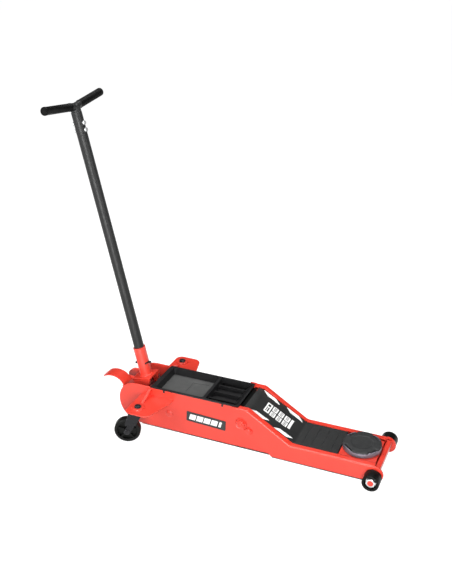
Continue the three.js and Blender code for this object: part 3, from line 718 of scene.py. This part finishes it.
def label(tag, side):
    """Dark name plate with plain slanted bars in place of any lettering."""
    face = side * (REAR_HALF + 0.2)
    badge = prism([on_label(u, v) for u, v in rect(-76, 76, -20, 20, 4)], face, face + side * 1.1)
    piece(f"side_badge_{tag}", badge, COVER, f"label_plate_{tag}", bevel=0.4)
    lean = 5
    prints = []
    for start, wide in ((-66, 24), (-38, 24), (-10, 24), (18, 24), (48, 9)):
        slant = [(start, -11), (start + wide, -11), (start + wide + lean, 11), (start + lean, 11)]
        mark = [on_label(side * -u, v) for u, v in slant]
        prints.append(prism(mark, face + side * 1.0, face + side * 1.35))
    piece(f"side_badge_marks_{tag}", merged(*prints), PRINT, bevel=0)


def chassis_inside():
    bar = prism(rect(1, 19, 42, 60, 3), -83.6, 83.6)
    piece("front_bar", bar, RED, "front_cross_bar", bevel=0.8)
    root = REAR_HALF - PLATE
    inner = root - 0.3
    rear = prism(rect(-918, -868, -inner, inner, 2), 20, 26, flat_on)
    piece("rear_base_plate", rear, RED, "rear_cross_plate", bevel=1.0)
    cradle = boolean(prism(rect(-inner, inner, 16, 118, 6), -598, -592, end_on),
                     prism(circle(0, RAM_Z, 28.3, 64), -605, -585, end_on))
    piece("cylinder_saddle_plate", cradle, RED, "cylinder_cradle", bevel=0.8)
    for tag, side in SIDES:
        welds = [sweep(straight((x, side * root, 20), (x, side * root, 114)), 2.2, 10, 0.12)
                 for x in (-599.5, -590.5)]
        welds.append(sweep(straight((4, side * 83, 42), (4, side * 83, 59)), 2.0, 10, 0.12))
        piece(f"cross_member_welds_{tag}", merged(*welds), RED, bevel=0)


def tool_tray():
    top = FRAME_TOP + 4
    floor = 140
    wall = 75.9

    def front(z):
        """The tray's front end, which clears the cover's crown."""
        return PIVOT[0] - sqrt((COVER_R + 2.5) ** 2 - (z - PIVOT[1]) ** 2)

    body = [(-816.5, top - 1), (-816.5, 137), (front(137), 137), (front(148), 148), (front(157), 157),
            (-492, top - 1)]
    rim = prism(rect(-829, -489.5, -REAR_HALF, REAR_HALF, 5), FRAME_TOP + 0.5, top, flat_on)
    tray = boolean(prism(body, -INSIDE, INSIDE), rim, operation="UNION")
    over = [(-617, top + 6), (-617, 156), (front(156) - 3, 156), (-495, top - 2), (-495, top + 6)]
    tools = [prism(rect(-813.5, -628, -wall, wall, 7), floor, top + 6, flat_on, draft=0.018),
             prism(over, -wall, wall)]
    for low, high in ((-wall, -48), (-42, -3), (3, 42), (48, wall)):
        slot = [(-617, 158), (-615.5, floor), (front(floor) - 3, floor), (front(158) - 3, 158)]
        tools.append(prism(slot, low, high))
    for ends in (((-720, -17), (-720, 45)), ((-720, 45), (-660, 50))):
        tools.append(prism(capsule(*ends, 0.7, 0.7, 3), floor - 0.8, floor + 1, flat_on))
    tray = boolean(tray, *tools)
    obj = piece("tray", tray, TRAY_PLASTIC, "tool_tray", bevel=1.3, segments=3, angle=30)
    second_material(obj, TRAY_FLOOR, lambda face: (
        face.normal.z > 0.9 and 0.1395 < face.center.z < 0.1405 and face.center.x < -0.08))


def tray_clips():
    hook = corners([(83.2, 166), (86.8, 166, 1), (87, 160, 0.5), (88.4, 158.5, 0.8), (86.4, 155.4, 0.8),
                    (84.4, 156.6, 0.6), (84.4, 164.6)])
    for tag, side in SIDES:
        for number, x in enumerate((-775, -547.5), 1):
            clip = prism(hook, x - 3.2, x + 3.2, end_on_side(side))
            piece(f"tray_clip_{tag}_{number}", clip, TRAY_PLASTIC, bevel=0.4)


# ---- lift arm

def arm_plates():
    under = COVER_R - 3.4
    outline = arc(*PIVOT, under, COVER_FALL + pi / 2, COVER_START + 0.05)
    outline += arc(*PIVOT, 34, 2.6, 1.6 * pi, 20)
    outline += corners([(-462, 78.5), (-345, 40, 30), (-305, 22, 30), (-150, 22)], closed=False)[1:]
    outline += arc(*PIN, 13, -pi / 2, pi / 2, 14)
    outline += [(-128, 54), (-142, COVER_TOP - 3.4), on_slope(COVER_FALL, under, COVER_TOP - 3.4)]
    for tag, side in SIDES:
        plate = prism(outline, side * 56, side * 62)
        piece(f"arm_side_{tag}", plate, RED, f"arm_plate_{tag}", "lift_arm", 1.0)


def arm_cover():
    normal = COVER_FALL + pi / 2
    inner_r = COVER_R - 3
    inner_top = COVER_TOP - 3
    outer_bend = on_slope(COVER_FALL, COVER_R, COVER_TOP)
    inner_bend = on_slope(COVER_FALL, inner_r, inner_top)
    line = arc(*PIVOT, COVER_R, COVER_START, normal, 16)[:-1]
    line += corners([off_pivot(COVER_FALL, COVER_R), (*outer_bend, 24), (COVER_END, COVER_TOP)],
                    closed=False, steps=8)
    line += corners([(COVER_END, inner_top), (*inner_bend, 27), off_pivot(COVER_FALL, inner_r)],
                    closed=False, steps=8)
    line += arc(*PIVOT, inner_r, normal, COVER_START, 16)[1:]
    cover = prism(line, -COVER_HALF, COVER_HALF)
    lip = prism(rect(COVER_END - 3, COVER_END, 48, COVER_TOP - 0.5), -55.6, 55.6)
    cover = boolean(cover, lip, operation="UNION")
    # Dark strip just inside the back of the cover's crown, which makes the gap between the cover and the
    # tray dark.
    flap = prism(arc(*PIVOT, 50, 2.35, 1.5, 14) + arc(*PIVOT, 48, 1.5, 2.35, 14), -COVER_HALF, COVER_HALF)
    piece("cover_dust_flap", flap, WHEEL, body="lift_arm", bevel=0.4)
    grooves = [prism(rect(x - 0.9, x + 0.9, -56, 56, 0.85), COVER_TOP - 1.1, COVER_TOP + 2, flat_on)
               for x in (-261, -228.5, -194, -159)]
    piece("arm_top_cover", boolean(cover, *grooves), COVER, "arm_cover", "lift_arm", 1.0, 3, angle=25)


def on_cover(s, y, proud):
    """Point of the cover's slope, s down from the crown and y across it."""
    x, z = off_pivot(COVER_FALL, COVER_R + proud)
    return (x + s * cos(COVER_FALL), y, z + s * sin(COVER_FALL))


def cover_prints():
    """White slanted bars along both edges and a grid of plain boxes between them."""
    marks = []
    for side in (1, -1):
        for shift in (0, 101):
            marks.append([(-7 + shift, side * 69.5), (49 + shift, side * 69.5), (73 + shift, side * 53),
                          (17 + shift, side * 54.5)])
    marks += [rect(33, 54.5, -27, 27), rect(135, 145.3, -25, 29)]
    icons = [rect(38, 41, -21, 4), rect(44, 49, -21, 4), rect(38, 49, 9, 21)]
    for low, high in ((59, 79.5), (85, 105), (110.5, 131)):
        marks += [rect(low, high, 1, 27.5), rect(low, high, -28, -3.5)]
        middle = (low + high) / 2
        icons += [rect(middle - 6, middle + 6, y - 1.6, y + 1.6) for y in (8, 15, 22, -9, -16, -23)]
    marks = [corners([(u, v, 1.2) for u, v in mark], steps=2) for mark in marks]
    prints = [prism(mark, 0.02, 0.15, on_cover) for mark in marks]
    piece("cover_white_marks", merged(*prints), PRINT, body="lift_arm", bevel=0)
    dark = [prism(icon, 0.1, 0.22, on_cover) for icon in icons]
    piece("cover_dark_marks", merged(*dark), COVER, body="lift_arm", bevel=0)


def arm_inside():
    tube = lathe(ring(12.5, 17, -55.6, 55.6), about_y(*PIVOT), 56)
    piece("arm_cross_tube", tube, RED, "arm_pivot_tube", "lift_arm", 0.6)
    hub = lathe(ring(17.3, 27, -16, 16), about_y(*PIVOT), 56)
    arm = capsule(PIVOT, LEVER_TIP, 20, 9)
    arms = [boolean(prism(arm, low, high), prism(circle(*PIVOT, 17.3), -20, 20))
            for low, high in ((-16, -6.2), (6.2, 16))]
    piece("ram_lever_casting", merged(hub, *arms), IRON, "ram_lever", "lift_arm", 1.2)
    roller = lathe([(0, -17), (4.6, -17), (5, -16.6), (5, -5.7), (10.4, -5.7), (11, -5.1), (11, 5.1),
                    (10.4, 5.7), (5, 5.7), (5, 16.6), (4.6, 17), (0, 17)], about_y(*LEVER_TIP), 40)
    piece("lever_push_roller", roller, ROD, "lever_roller", "lift_arm", 0)
    pin = lathe(rod(-62.5, 62.5, 8), about_y(*PIN), 40)
    piece("carrier_pivot_pin", pin, ZINC, "carrier_pin", "lift_arm", 0)


def main_shaft():
    end = FRONT_HALF + 12
    half = [(12, INSIDE - 0.6), (11.4, INSIDE), (8, INSIDE), (8, end - 0.8), (7.2, end), (0, end)]
    shaft = lathe([(r, -y) for r, y in half[::-1]] + half, about_y(*PIVOT), 48)
    obj = piece("main_shaft", shaft, ZINC, "main_pivot_shaft", bevel=0)
    second_material(obj, RED, lambda face: abs(face.center.y) > 0.090)
    for tag, side in SIDES:
        nut(f"main_nut_{tag}", PIVOT, side, FRONT_HALF - 2.0, 27, 11, 18, RED, f"pivot_nut_{tag}", 8.3)
        nut(f"link_nut_{tag}", LINK_PIVOT, side, FRONT_HALF - 1.4, 20, 8, 12, RED, f"link_bolt_{tag}", 0)


def levelling_links():
    line = corners([LINK_PIVOT, (-352, 43, 40), (-318, 26, 40), LINK_PIN], closed=False, steps=6)
    half = 9.5
    left, right = both_sides(line, half)
    first = atan2(line[1][1] - line[0][1], line[1][0] - line[0][0])
    last = atan2(line[-1][1] - line[-2][1], line[-1][0] - line[-2][0])
    outline = arc(*LINK_PIVOT, half, first + pi / 2, first + 1.5 * pi) + right[1:-1]
    outline += arc(*LINK_PIN, half, last - pi / 2, last + pi / 2) + left[1:-1][::-1]
    for tag, side in SIDES:
        holes = [prism(circle(*centre, radius), side * 60, side * 75)
                 for centre, radius in ((LINK_PIVOT, 6.4), (LINK_PIN, 5.9))]
        bar = boolean(prism(outline, side * 65.5, side * 70), *holes)
        piece(f"levelling_bar_{tag}", bar, RED, f"link_bar_{tag}", "links")


# ---- saddle

def saddle_carrier():
    plate = prism(rect(-131, -3, -66, 66, 1.5), 57.5, 63, flat_on)
    parts = [boolean(plate, prism(circle(SADDLE_X, 0, 12.6), 50, 70, flat_on))]
    outline = corners([(-112, 59), (-92, 30, 14), (-80, 24, 10), (-54, 9.5, 10), (-40, 9.5, 4), (-35, 14, 4),
                       (-30, 59)])
    for tag, side in SIDES:
        cheek = prism(outline, side * 47, side * 53)
        parts.append(boolean(cheek, prism(circle(*PIN, 8.4), side * 40, side * 60)))
        stub = [(0, 48), (5.5, 48), (5.5, 70.2), (4.7, 71), (0, 71)]
        parts.append(lathe(stub, outward(LINK_PIN, side), 32))
    piece("saddle_plate", merged(*parts), RED, "saddle_carrier", "carrier", 0.9)


TABS = [radians(a) for a in (50, 140, 230, 320)]


def tab_amount(angle, half=0.29, soft=0.05):
    """1 within a tab of the bowl, 0 away from it."""
    off = min(abs((angle - tab + pi) % (2 * pi) - pi) for tab in TABS)
    t = min(1.0, max(0.0, (half + soft - off) / (2 * soft)))
    return t * t * (3 - 2 * t)


def saddle_bowl():
    profile = [(0, 50), (11, 50), (12, 51), (12, 63.4), (40, 63.4), (60, 63.4), (64, 63.9), (65.5, 65.2),
               (66, 67.5), (66, 79), (65.6, 80), (64.8, 80.3), (63.2, 80.3), (62.4, 79.6), (62.4, 77),
               (61, 76), (0, 76)]

    def tabs(i, radius, height, angle):
        if 9 <= i <= 13:
            height += 3.4 * tab_amount(angle)
        return radius, height

    bowl = lathe(profile, about_z(SADDLE_X, 0), 240, tabs)
    piece("saddle_cup", bowl, IRON, "saddle_bowl", "saddle", 0, angle=40)


def saddle_pad():
    profile = [(0, 76.6), (60, 76.6), (61.8, 78), (61.8, 81.2), (61.4, 84.2), (60.2, 85.5), (58, 86),
               (40, 86), (38.6, 85.9), (37.4, 85.2), (36.4, 84.9), (34, 84.8), (0, 84.8)]

    def lobes(i, radius, height, angle):
        away = 1 - tab_amount(angle, 0.31, 0.06)
        if 1 <= i <= 6:
            radius -= 5.5
        if 3 <= i <= 6 and away:
            radius += 9.5 * away
            height = max(height, 81.0 + 0.2 * i)
        return radius, height

    pad = lathe(profile, about_z(SADDLE_X, 0), 240, lobes)
    piece("saddle_rubber", pad, PAD, "saddle_pad", "saddle", 0, angle=50)


# ---- rollers and casters

def front_rollers():
    axle = lathe(rod(-140.5, 140.5, 10), about_y(0, ROLLER_R), 40)
    piece("front_axle_rod", axle, RED, "front_axle", bevel=0)
    r = ROLLER_R
    low, high = FRONT_HALF + 1.5, 142
    profile = corners([(10.5, low), (20, low), (20, low + 2, 1), (r, low + 2, 3), (r, low + 9, 0.8),
                       (r - 0.8, low + 10, 0.5), (r, low + 11, 0.8), (r, high - 11, 0.8),
                       (r - 0.8, high - 10, 0.5), (r, high - 9, 0.8), (r, high, 3), (21.5, high, 1.2),
                       (19.5, 126.5, 2), (10.5, 126.5), (10.5, low)], closed=False)
    for tag, side in SIDES:
        roller = lathe(profile, outward((0, r), side), 80)
        piece(f"front_wheel_{tag}", roller, WHEEL, f"front_roller_{tag}", f"roller_{tag}", 0, angle=40)
        nut(f"axle_end_nut_{tag}", (0, r), side, 127.2, 29.5, 11.5, 17.5, ZINC, f"axle_nut_{tag}",
            10.2)


def caster_fork(tag, side):
    x, y = CASTER[0], side * CASTER[1]
    body = f"caster_{tag}"
    flat, upright = caster_turned(side, flat_on), caster_turned(side, side_on)
    axle = (x - TRAIL, WHEEL_R)
    top = prism(circle(x, y, 24, 56), 112.2, 118, flat)
    bridge = prism(rect(x - 34, x + 2, y - 21.5, y + 21.5, 4), 112.2, 118, flat)
    crown = lathe([(9, 0), (22, 0), (23.5, 1), (23.5, 4), (21, 7.5), (17, 10.9), (9, 10.9), (9, 0)],
                  about_z(x, y, 118), 56)
    outline = corners([(x + 14, 114), (x - 34, 114, 4), (axle[0] - 12.4, axle[1] + 10, 6)])
    outline += arc(*axle, 12.4, pi, 1.9 * pi, 14)
    cheeks = [prism(outline, y + a, y + b, upright) for a, b in ((-21.5, -17.8), (17.8, 21.5))]
    piece(f"caster_frame_{tag}", merged(top, bridge, crown, *cheeks), BLACK, f"caster_fork_{tag}", body)
    place = caster_turned(side, lambda u, v, depth: (axle[0] + u, y + depth, axle[1] + v))
    pin = lathe([(0, -25), (8, -25), (9, -24), (9, -22), (6, -22), (6, 22), (9, 22), (9, 24), (8, 25),
                 (0, 25)], place, 32)
    piece(f"caster_axle_bolt_{tag}", pin, BLACK, f"caster_axle_{tag}", body, 0)


def caster_wheel(tag, side):
    x, y = CASTER[0] - TRAIL, side * CASTER[1]
    place = caster_turned(side, lambda u, v, depth: (x + u, y + depth, WHEEL_R + v))
    tyre = corners([(35, -13), (37.5, -15.2, 1.5), (42, -15.8, 2), (WHEEL_R, -11.5, 5), (WHEEL_R, 11.5, 5),
                    (42, 15.8, 2), (37.5, 15.2, 1.5), (35, 13), (35, -13)], closed=False)
    hub = corners([(6.4, -15.5), (11, -15.5, 1.5), (12.5, -9, 1), (12.5, 9, 1), (11, 15.5, 1.5), (6.4, 15.5),
                   (6.4, -15.5)], closed=False)
    parts = [lathe(tyre, place, 88), lathe(hub, place, 48), lathe(ring(11, 36, -3, 3), place, 64)]
    for k in range(5):
        turn = 2 * pi * k / 5 + 0.3
        rib = [(u * cos(turn) - v * sin(turn), u * sin(turn) + v * cos(turn))
               for u, v in ((11, -3.4), (36, -2.2), (36, 2.2), (11, 3.4))]
        parts.append(prism(rib, -12, 12, place))
    piece(f"caster_roller_{tag}", merged(*parts), WHEEL, f"caster_wheel_{tag}", f"wheel_{tag}", 0.7)


def caster_bolt(tag, side):
    x, y = CASTER[0], side * CASTER[1]
    seat = WING_TOP + 4.7
    on_seat = about_z(x, y, seat)
    shank = lathe([(0, 103), (11, 103), (12, 104), (12, 111), (8, 111), (8, seat), (0, seat)],
                  about_z(x, y), 32)
    head = prism(hexagon(x, y, 20.4, 0.2), seat, seat + 5.2, flat_on)
    crest = [(7, 6.4), (3.5, 7.1), (0, 7.3)]
    dome = lathe([(0, -3), (16, -3), (16, 2.4), (10.8, 4.9), *crest], on_seat, 48)
    cap = lathe([(0, 1), (9.6, 1), (9.4, 4.8), *crest], on_seat, 40)
    head = boolean(head, dome, operation="INTERSECT")
    washer = lathe([(7, -0.2), (12.4, -0.2), (12.8, 0.6), (12.4, 1.6), (7, 1.6), (7, -0.2)], on_seat, 48)
    bolt = merged(shank, head, washer, cap)
    piece(f"caster_centre_bolt_{tag}", bolt, BLACK, f"caster_bolt_{tag}", bevel=0.4)


# ---- yoke, handle, pedal

def handle_yoke():
    foot = (YOKE_PIVOT[0], 88)
    web = prism(rect(-42, 34, -37, 37, 3), 0, 6, handle_frame)
    cheek = [(-931, 153), (-905, 100)] + arc(*foot, 11, pi, 2 * pi, 14) + [(-862, 118), (-857, 168)]
    cheeks = [boolean(prism(cheek, side * 31, side * 37), prism(circle(*YOKE_PIVOT, 9.3), -50, 50))
              for tag, side in SIDES]
    lobe = corners([(-925, 156), (-962, 157, 22), (-984, 138, 18), (-985, 118, 16), (-968, 107, 12),
                    (-905, 102)], steps=8)
    ears = [prism(lobe, low, high) for low, high in ((31, 37), (-26, -18))]
    roller = lathe([(0, -32), (9, -32), (9, 32), (0, 32)], about_y(*foot), 40)
    piece("yoke_bracket", merged(web, *cheeks, *ears, roller), RED, "handle_yoke", "yoke", 1.2, 3)
    socket = lathe([(SOCKET_R, 3), (SOCKET_R, 117), (TUBE_R + 0.5, 117), (TUBE_R + 0.5, 7), (TUBE_R - 4, 7),
                    (TUBE_R - 4, 3), (SOCKET_R, 3)], handle_frame, 96)
    # Slots in which the cross pin turns by 35 degrees
    margin = 0.21
    for turn in (0, pi):
        sector = [(0, 0)] + arc(0, 0, 40, turn - radians(35) - margin, turn + margin, 8)
        socket = boolean(socket, prism(sector, 50.2, 57.8, handle_frame))
    piece("yoke_socket", socket, RED, body="yoke", bevel=0.7)
    line = [handle_frame(u, v, 7.2) for u, v in arc(0, 0, SOCKET_R + 1.2, 0, 2 * pi, 110)]
    piece("yoke_socket_weld", sweep(line, 3.0, 12, 0.10, 6), RED, body="yoke", bevel=0)


def handle_tube():
    profile = [(TUBE_BORE, 8), (TUBE_R - 0.4, 8), (TUBE_R, 8.4), (TUBE_R, TUBE_TOP - 0.6),
               (TUBE_R - 0.6, TUBE_TOP), (TUBE_BORE, TUBE_TOP), (TUBE_BORE, 8)]
    tube = lathe(profile, handle_frame, 72)
    piece("handle_shaft", tube, TUBE, "handle_tube", "handle", 0, angle=40)
    pin = lathe([(0, -32), (4, -32), (4.6, -31.2), (4.6, -25), (3.5, -24), (3.5, 24), (4.6, 25), (4.6, 31.2),
                 (4, 32), (0, 32)], handle_across(54), 28)
    piece("handle_pin", pin, BLACK, "handle_cross_pin", "handle", 0)


def t_piece():
    """Neck, spigot and the two arms, melted into one casting."""
    neck = lathe([(0, TUBE_TOP + 0.4), (NECK_R, TUBE_TOP + 0.4), (NECK_R, HANDLE_LONG - 3),
                  (NECK_R - 3, HANDLE_LONG + 7), (NECK_R - 9, HANDLE_LONG + 11.5), (0, HANDLE_LONG + 12.5)],
                 handle_frame, 64)
    spigot = lathe([(0, HANDLE_LONG - 111), (15, HANDLE_LONG - 111), (15.4, HANDLE_LONG - 110.4),
                    (15.4, HANDLE_LONG), (0, HANDLE_LONG)], handle_frame, 48)
    arms = [lathe([(0, -12), (9, -9), (GRIP_R - 0.4, -2), (GRIP_R - 0.4, 46), (0, 46)], grip_place(side), 48)
            for tag, side in SIDES]
    obj = placed("temporary", merged(neck, spigot, *arms))
    remesh = obj.modifiers.new("remesh", "REMESH")
    remesh.mode = "VOXEL"
    remesh.voxel_size = 1.3
    smooth = obj.modifiers.new("smooth", "SMOOTH")
    smooth.factor = 0.5
    smooth.iterations = 10
    piece("handle_t_piece", worked(obj), TUBE, "handle_grip_bar", "handle", 0, angle=70)


def grips():
    long = GRIP_REACH / cos(GRIP_RISE)
    r = GRIP_R
    for tag, side in SIDES:
        profile = [(r - 1.5, 26), (r + 0.2, 26.4), (r + 0.8, 27.4), (r + 0.8, 31), (r + 0.1, 32)]
        if side > 0:
            at = 33.0
            while at < long - 16:
                profile += [(r + 0.1, at), (r + 0.45, at + 0.5), (r + 0.45, at + 1.3), (r + 0.1, at + 1.8)]
                at += 2.8
        profile += [(r, long - 12), (r + 0.6, long - 11), (r + 0.6, long - 5)]
        profile += arc(r - 4.4, long - 5, 5, pi / 12, pi / 2, 5)
        profile += [(4, long + 0.1), (0, long + 0.2)]
        grip = lathe(profile, grip_place(side), 56)
        piece(f"grip_sleeve_{tag}", grip, GRIP, body="handle", bevel=0, angle=50)


def handle_bolts():
    seat = TUBE_R + 0.2
    reach = 13 / sqrt(3)
    for number, height in ((1, HANDLE_LONG - 80), (2, HANDLE_LONG - 56)):
        place = handle_across(height)
        head = prism(hexagon(0, 0, 12, 0.4), seat, seat + 5.2, place)
        crown = lathe([(0, seat - 3), (12, seat - 3), (12, seat + 3.6), (reach * 0.86, seat + 5.3),
                       (0, seat + 5.3)], place, 40)
        head = boolean(head, crown, operation="INTERSECT")
        lock = prism(hexagon(0, 0, 13, 0.1), -seat - 6, -seat, place)
        shank = lathe([(0, -seat - 6.4), (3.6, -seat - 6.4), (4, -seat - 6), (4, seat + 1), (0, seat + 1)],
                      place, 28)
        washers = [lathe(ring(4, 7.6, low, high), place, 36)
                   for low, high in ((seat - 0.6, seat + 0.9), (-seat - 0.9, -seat + 0.6))]
        bolt = merged(head, lock, shank, *washers)
        piece(f"grip_bolt_{number}", bolt, ZINC, f"handle_bolt_{number}", "handle", 0.35)


def yoke_pins():
    pin = lathe(rod(-INSIDE, INSIDE, 9, 0.8), about_y(*YOKE_PIVOT), 40)
    piece("yoke_pin", pin, ZINC, "yoke_pivot_pin", bevel=0)
    pin = lathe(rod(-INSIDE, -40, 7, 0.8), about_y(*PEDAL_PIVOT), 32)
    piece("pedal_hinge_pin", pin, ZINC, "pedal_pin", bevel=0)


def foot_pedal():
    knots = [(-1034, 161), (-1016, 171.5), (-996, 176), (-978, 175), (-959, 167), (-947, 154), (-942, 143)]
    over, under = both_sides(smooth_line(knots, 7), 2)
    plate = prism(over + under[::-1], -INSIDE, -27)
    tip = curve((-1026, -27), (-1036, -53), (-1026, -79))
    plan = [(-920, -80), (-920, -26), (-1026, -26), *tip, (-1026, -80)]
    plate = boolean(plate, prism(plan, 100, 200, flat_on), operation="INTERSECT")
    piece("pedal_plate", plate, RED, "foot_pedal", "pedal", 1.2, 3, angle=40)
    lever = boolean(prism(capsule(PEDAL_PIVOT, (-947.5, 135.3), 14, 7), -70, -58),
                    prism(circle(*PEDAL_PIVOT, 7.3), -75, -50))
    piece("pedal_arm", lever, RED, "pedal_lever", "pedal", 1.5, 3)
    screw = lathe([(0, -72.5), (4.5, -72.5), (5.5, -71.5), (5.5, -70), (0, -70)], about_y(-946, 128), 24)
    piece("pedal_screw", screw, ZINC, body="pedal", bevel=0)


# ---- hydraulics

def hydraulics():
    block = prism(rect(-835, -760.4, -45, 45, 6), 24, 120, flat_on)
    block = boolean(block, lathe([(0, -845), (9.4, -845), (9.4, -766), (0, -766)], about_x(0, PUMP_Z), 40),
                    lathe([(0, -845), (6.4, -845), (6.4, -816), (0, -816)], about_x(*VALVE), 32))
    piece("pump_casting", block, IRON, "pump_block", bevel=2.0, segments=3)
    barrel = lathe([(12.6, -575), (26.5, -575), (28, -576.5), (28, -586), (27, -587), (27, -748), (28, -749),
                    (28, -760), (0, -760), (0, -745), (12.6, -745), (12.6, -575)], about_x(0, RAM_Z), 72)
    piece("cylinder_barrel", barrel, IRON, "hydraulic_cylinder", bevel=0, angle=40)
    valve = lathe([(0, -858), (7.5, -858), (8.8, -857), (8.8, -847), (6, -846), (6, -816), (0, -816)],
                  about_x(*VALVE), 32)
    piece("release_screw", valve, ZINC, "release_valve", bevel=0)
    nose = LEVER_TIP[0] - 12.5
    bar = lathe([(0, -735), (12, -735), (12, -527), (11, -526), (5, -526), (5, nose + 0.4), (4.4, nose),
                 (0, nose)], about_x(0, RAM_Z), 56)
    piece("ram_bar", bar, ROD, "ram_rod", "ram", 0)
    plunger = lathe([(0, -875), (8, -875), (9, -874), (9, -800), (0, -800)], about_x(0, PUMP_Z), 40)
    piece("plunger_bar", plunger, ROD, "pump_plunger", "plunger", 0)


# ---- studio

def backdrop(name, bm, **inputs):
    """Part of the set, with a plain material of its own."""
    obj = placed(name, bm)
    material = bpy.data.materials.new(name)
    material.use_nodes = True
    for key, value in inputs.items():
        socket = material.node_tree.nodes["Principled BSDF"].inputs[key.replace("_", " ")]
        socket.default_value = value
    obj.data.materials.append(material)
    return obj


def studio():
    grid = bmesh.new()
    below = Matrix.Translation((0, 0, -0.0004))
    bmesh.ops.create_grid(grid, x_segments=1, y_segments=1, size=60, matrix=below)
    floor = backdrop("studio_floor", grid, Base_Color=(0.25, 0.25, 0.25, 1), Roughness=0.9,
                     Specular_IOR_Level=0.0, Emission_Color=(1, 1, 1, 1), Emission_Strength=1.0)
    floor.visible_diffuse = False

    # A dark card lying under the chassis is a painted shadow on the floor beneath it, and keeps the pale
    # floor from shining up into it.
    shadow_card = merged(prism(rect(TAIL[0], -359, 4 - REAR_HALF, REAR_HALF - 4), 0.02, 0.12, flat_on),
                  prism(rect(-359, -14, 4 - FRONT_HALF, FRONT_HALF - 4), 0.02, 0.12, flat_on))
    shadow_card.transform(TO_ROW)
    backdrop("studio_card", shadow_card, Base_Color=(0.03, 0.03, 0.03, 1))

    world = bpy.data.worlds.new("studio")
    SCENE.world = world
    world.use_nodes = True
    nodes, links = world.node_tree.nodes, world.node_tree.links
    height = nodes.new("ShaderNodeSeparateXYZ")
    links.new(nodes.new("ShaderNodeTexCoord").outputs["Generated"], height.inputs[0])
    span = nodes.new("ShaderNodeMapRange")
    links.new(height.outputs[2], span.inputs["Value"])
    for key, value in (("From Min", -0.1), ("From Max", 0.7), ("To Min", 0.12), ("To Max", 0.55)):
        span.inputs[key].default_value = value
    links.new(span.outputs[0], nodes["Background"].inputs[1])

    lamps = (
        ("key", (0.8, -3.0, 0.8), (-0.1, 0, 0.25), 1.8, 135),
        ("rear", (-1.7, -2.0, 1.5), (-0.42, 0, 0.1), 1.2, 34),
        ("overhead", (-0.2, 0.3, 3.0), (-0.1, 0, 0.1), 2.2, 95),
        ("front", (2.8, -0.8, 1.4), (0.1, 0, 0.2), 1.2, 30),
    )
    for name, place, target, size, power in lamps:
        light = bpy.data.lights.new(name, "AREA")
        light.size = size
        light.energy = power
        lamp = bpy.data.objects.new(name, light)
        SCENE.collection.objects.link(lamp)
        lamp.location = place
        lamp.rotation_euler = (Vector(target) - Vector(place)).to_track_quat("-Z", "Y").to_euler()


def camera():
    data = bpy.data.cameras.new("view")
    data.sensor_width = 36
    data.lens = 51.894
    data.clip_end = 200
    eye = bpy.data.objects.new("view", data)
    SCENE.collection.objects.link(eye)
    eye.location = TO_ROW @ Vector((448.4, -2375.95, 1736.61))
    eye.rotation_euler = (radians(90 - 24.57), 0, radians(23.2))
    SCENE.camera = eye


camera()
studio()
for tag, side in SIDES:
    for make in (rear_side_plate, front_side_plate, caster_wing, trunnion_cap, label, caster_fork,
                 caster_wheel, caster_bolt):
        make(tag, side)
for make in (chassis_inside, tool_tray, tray_clips, arm_plates, arm_cover, cover_prints, arm_inside,
             main_shaft, levelling_links, saddle_carrier, saddle_bowl, saddle_pad, front_rollers,
             handle_yoke, handle_tube, t_piece, grips, handle_bolts, yoke_pins, foot_pedal, hydraulics):
    make()

SCENE.view_settings.view_transform = "Standard"
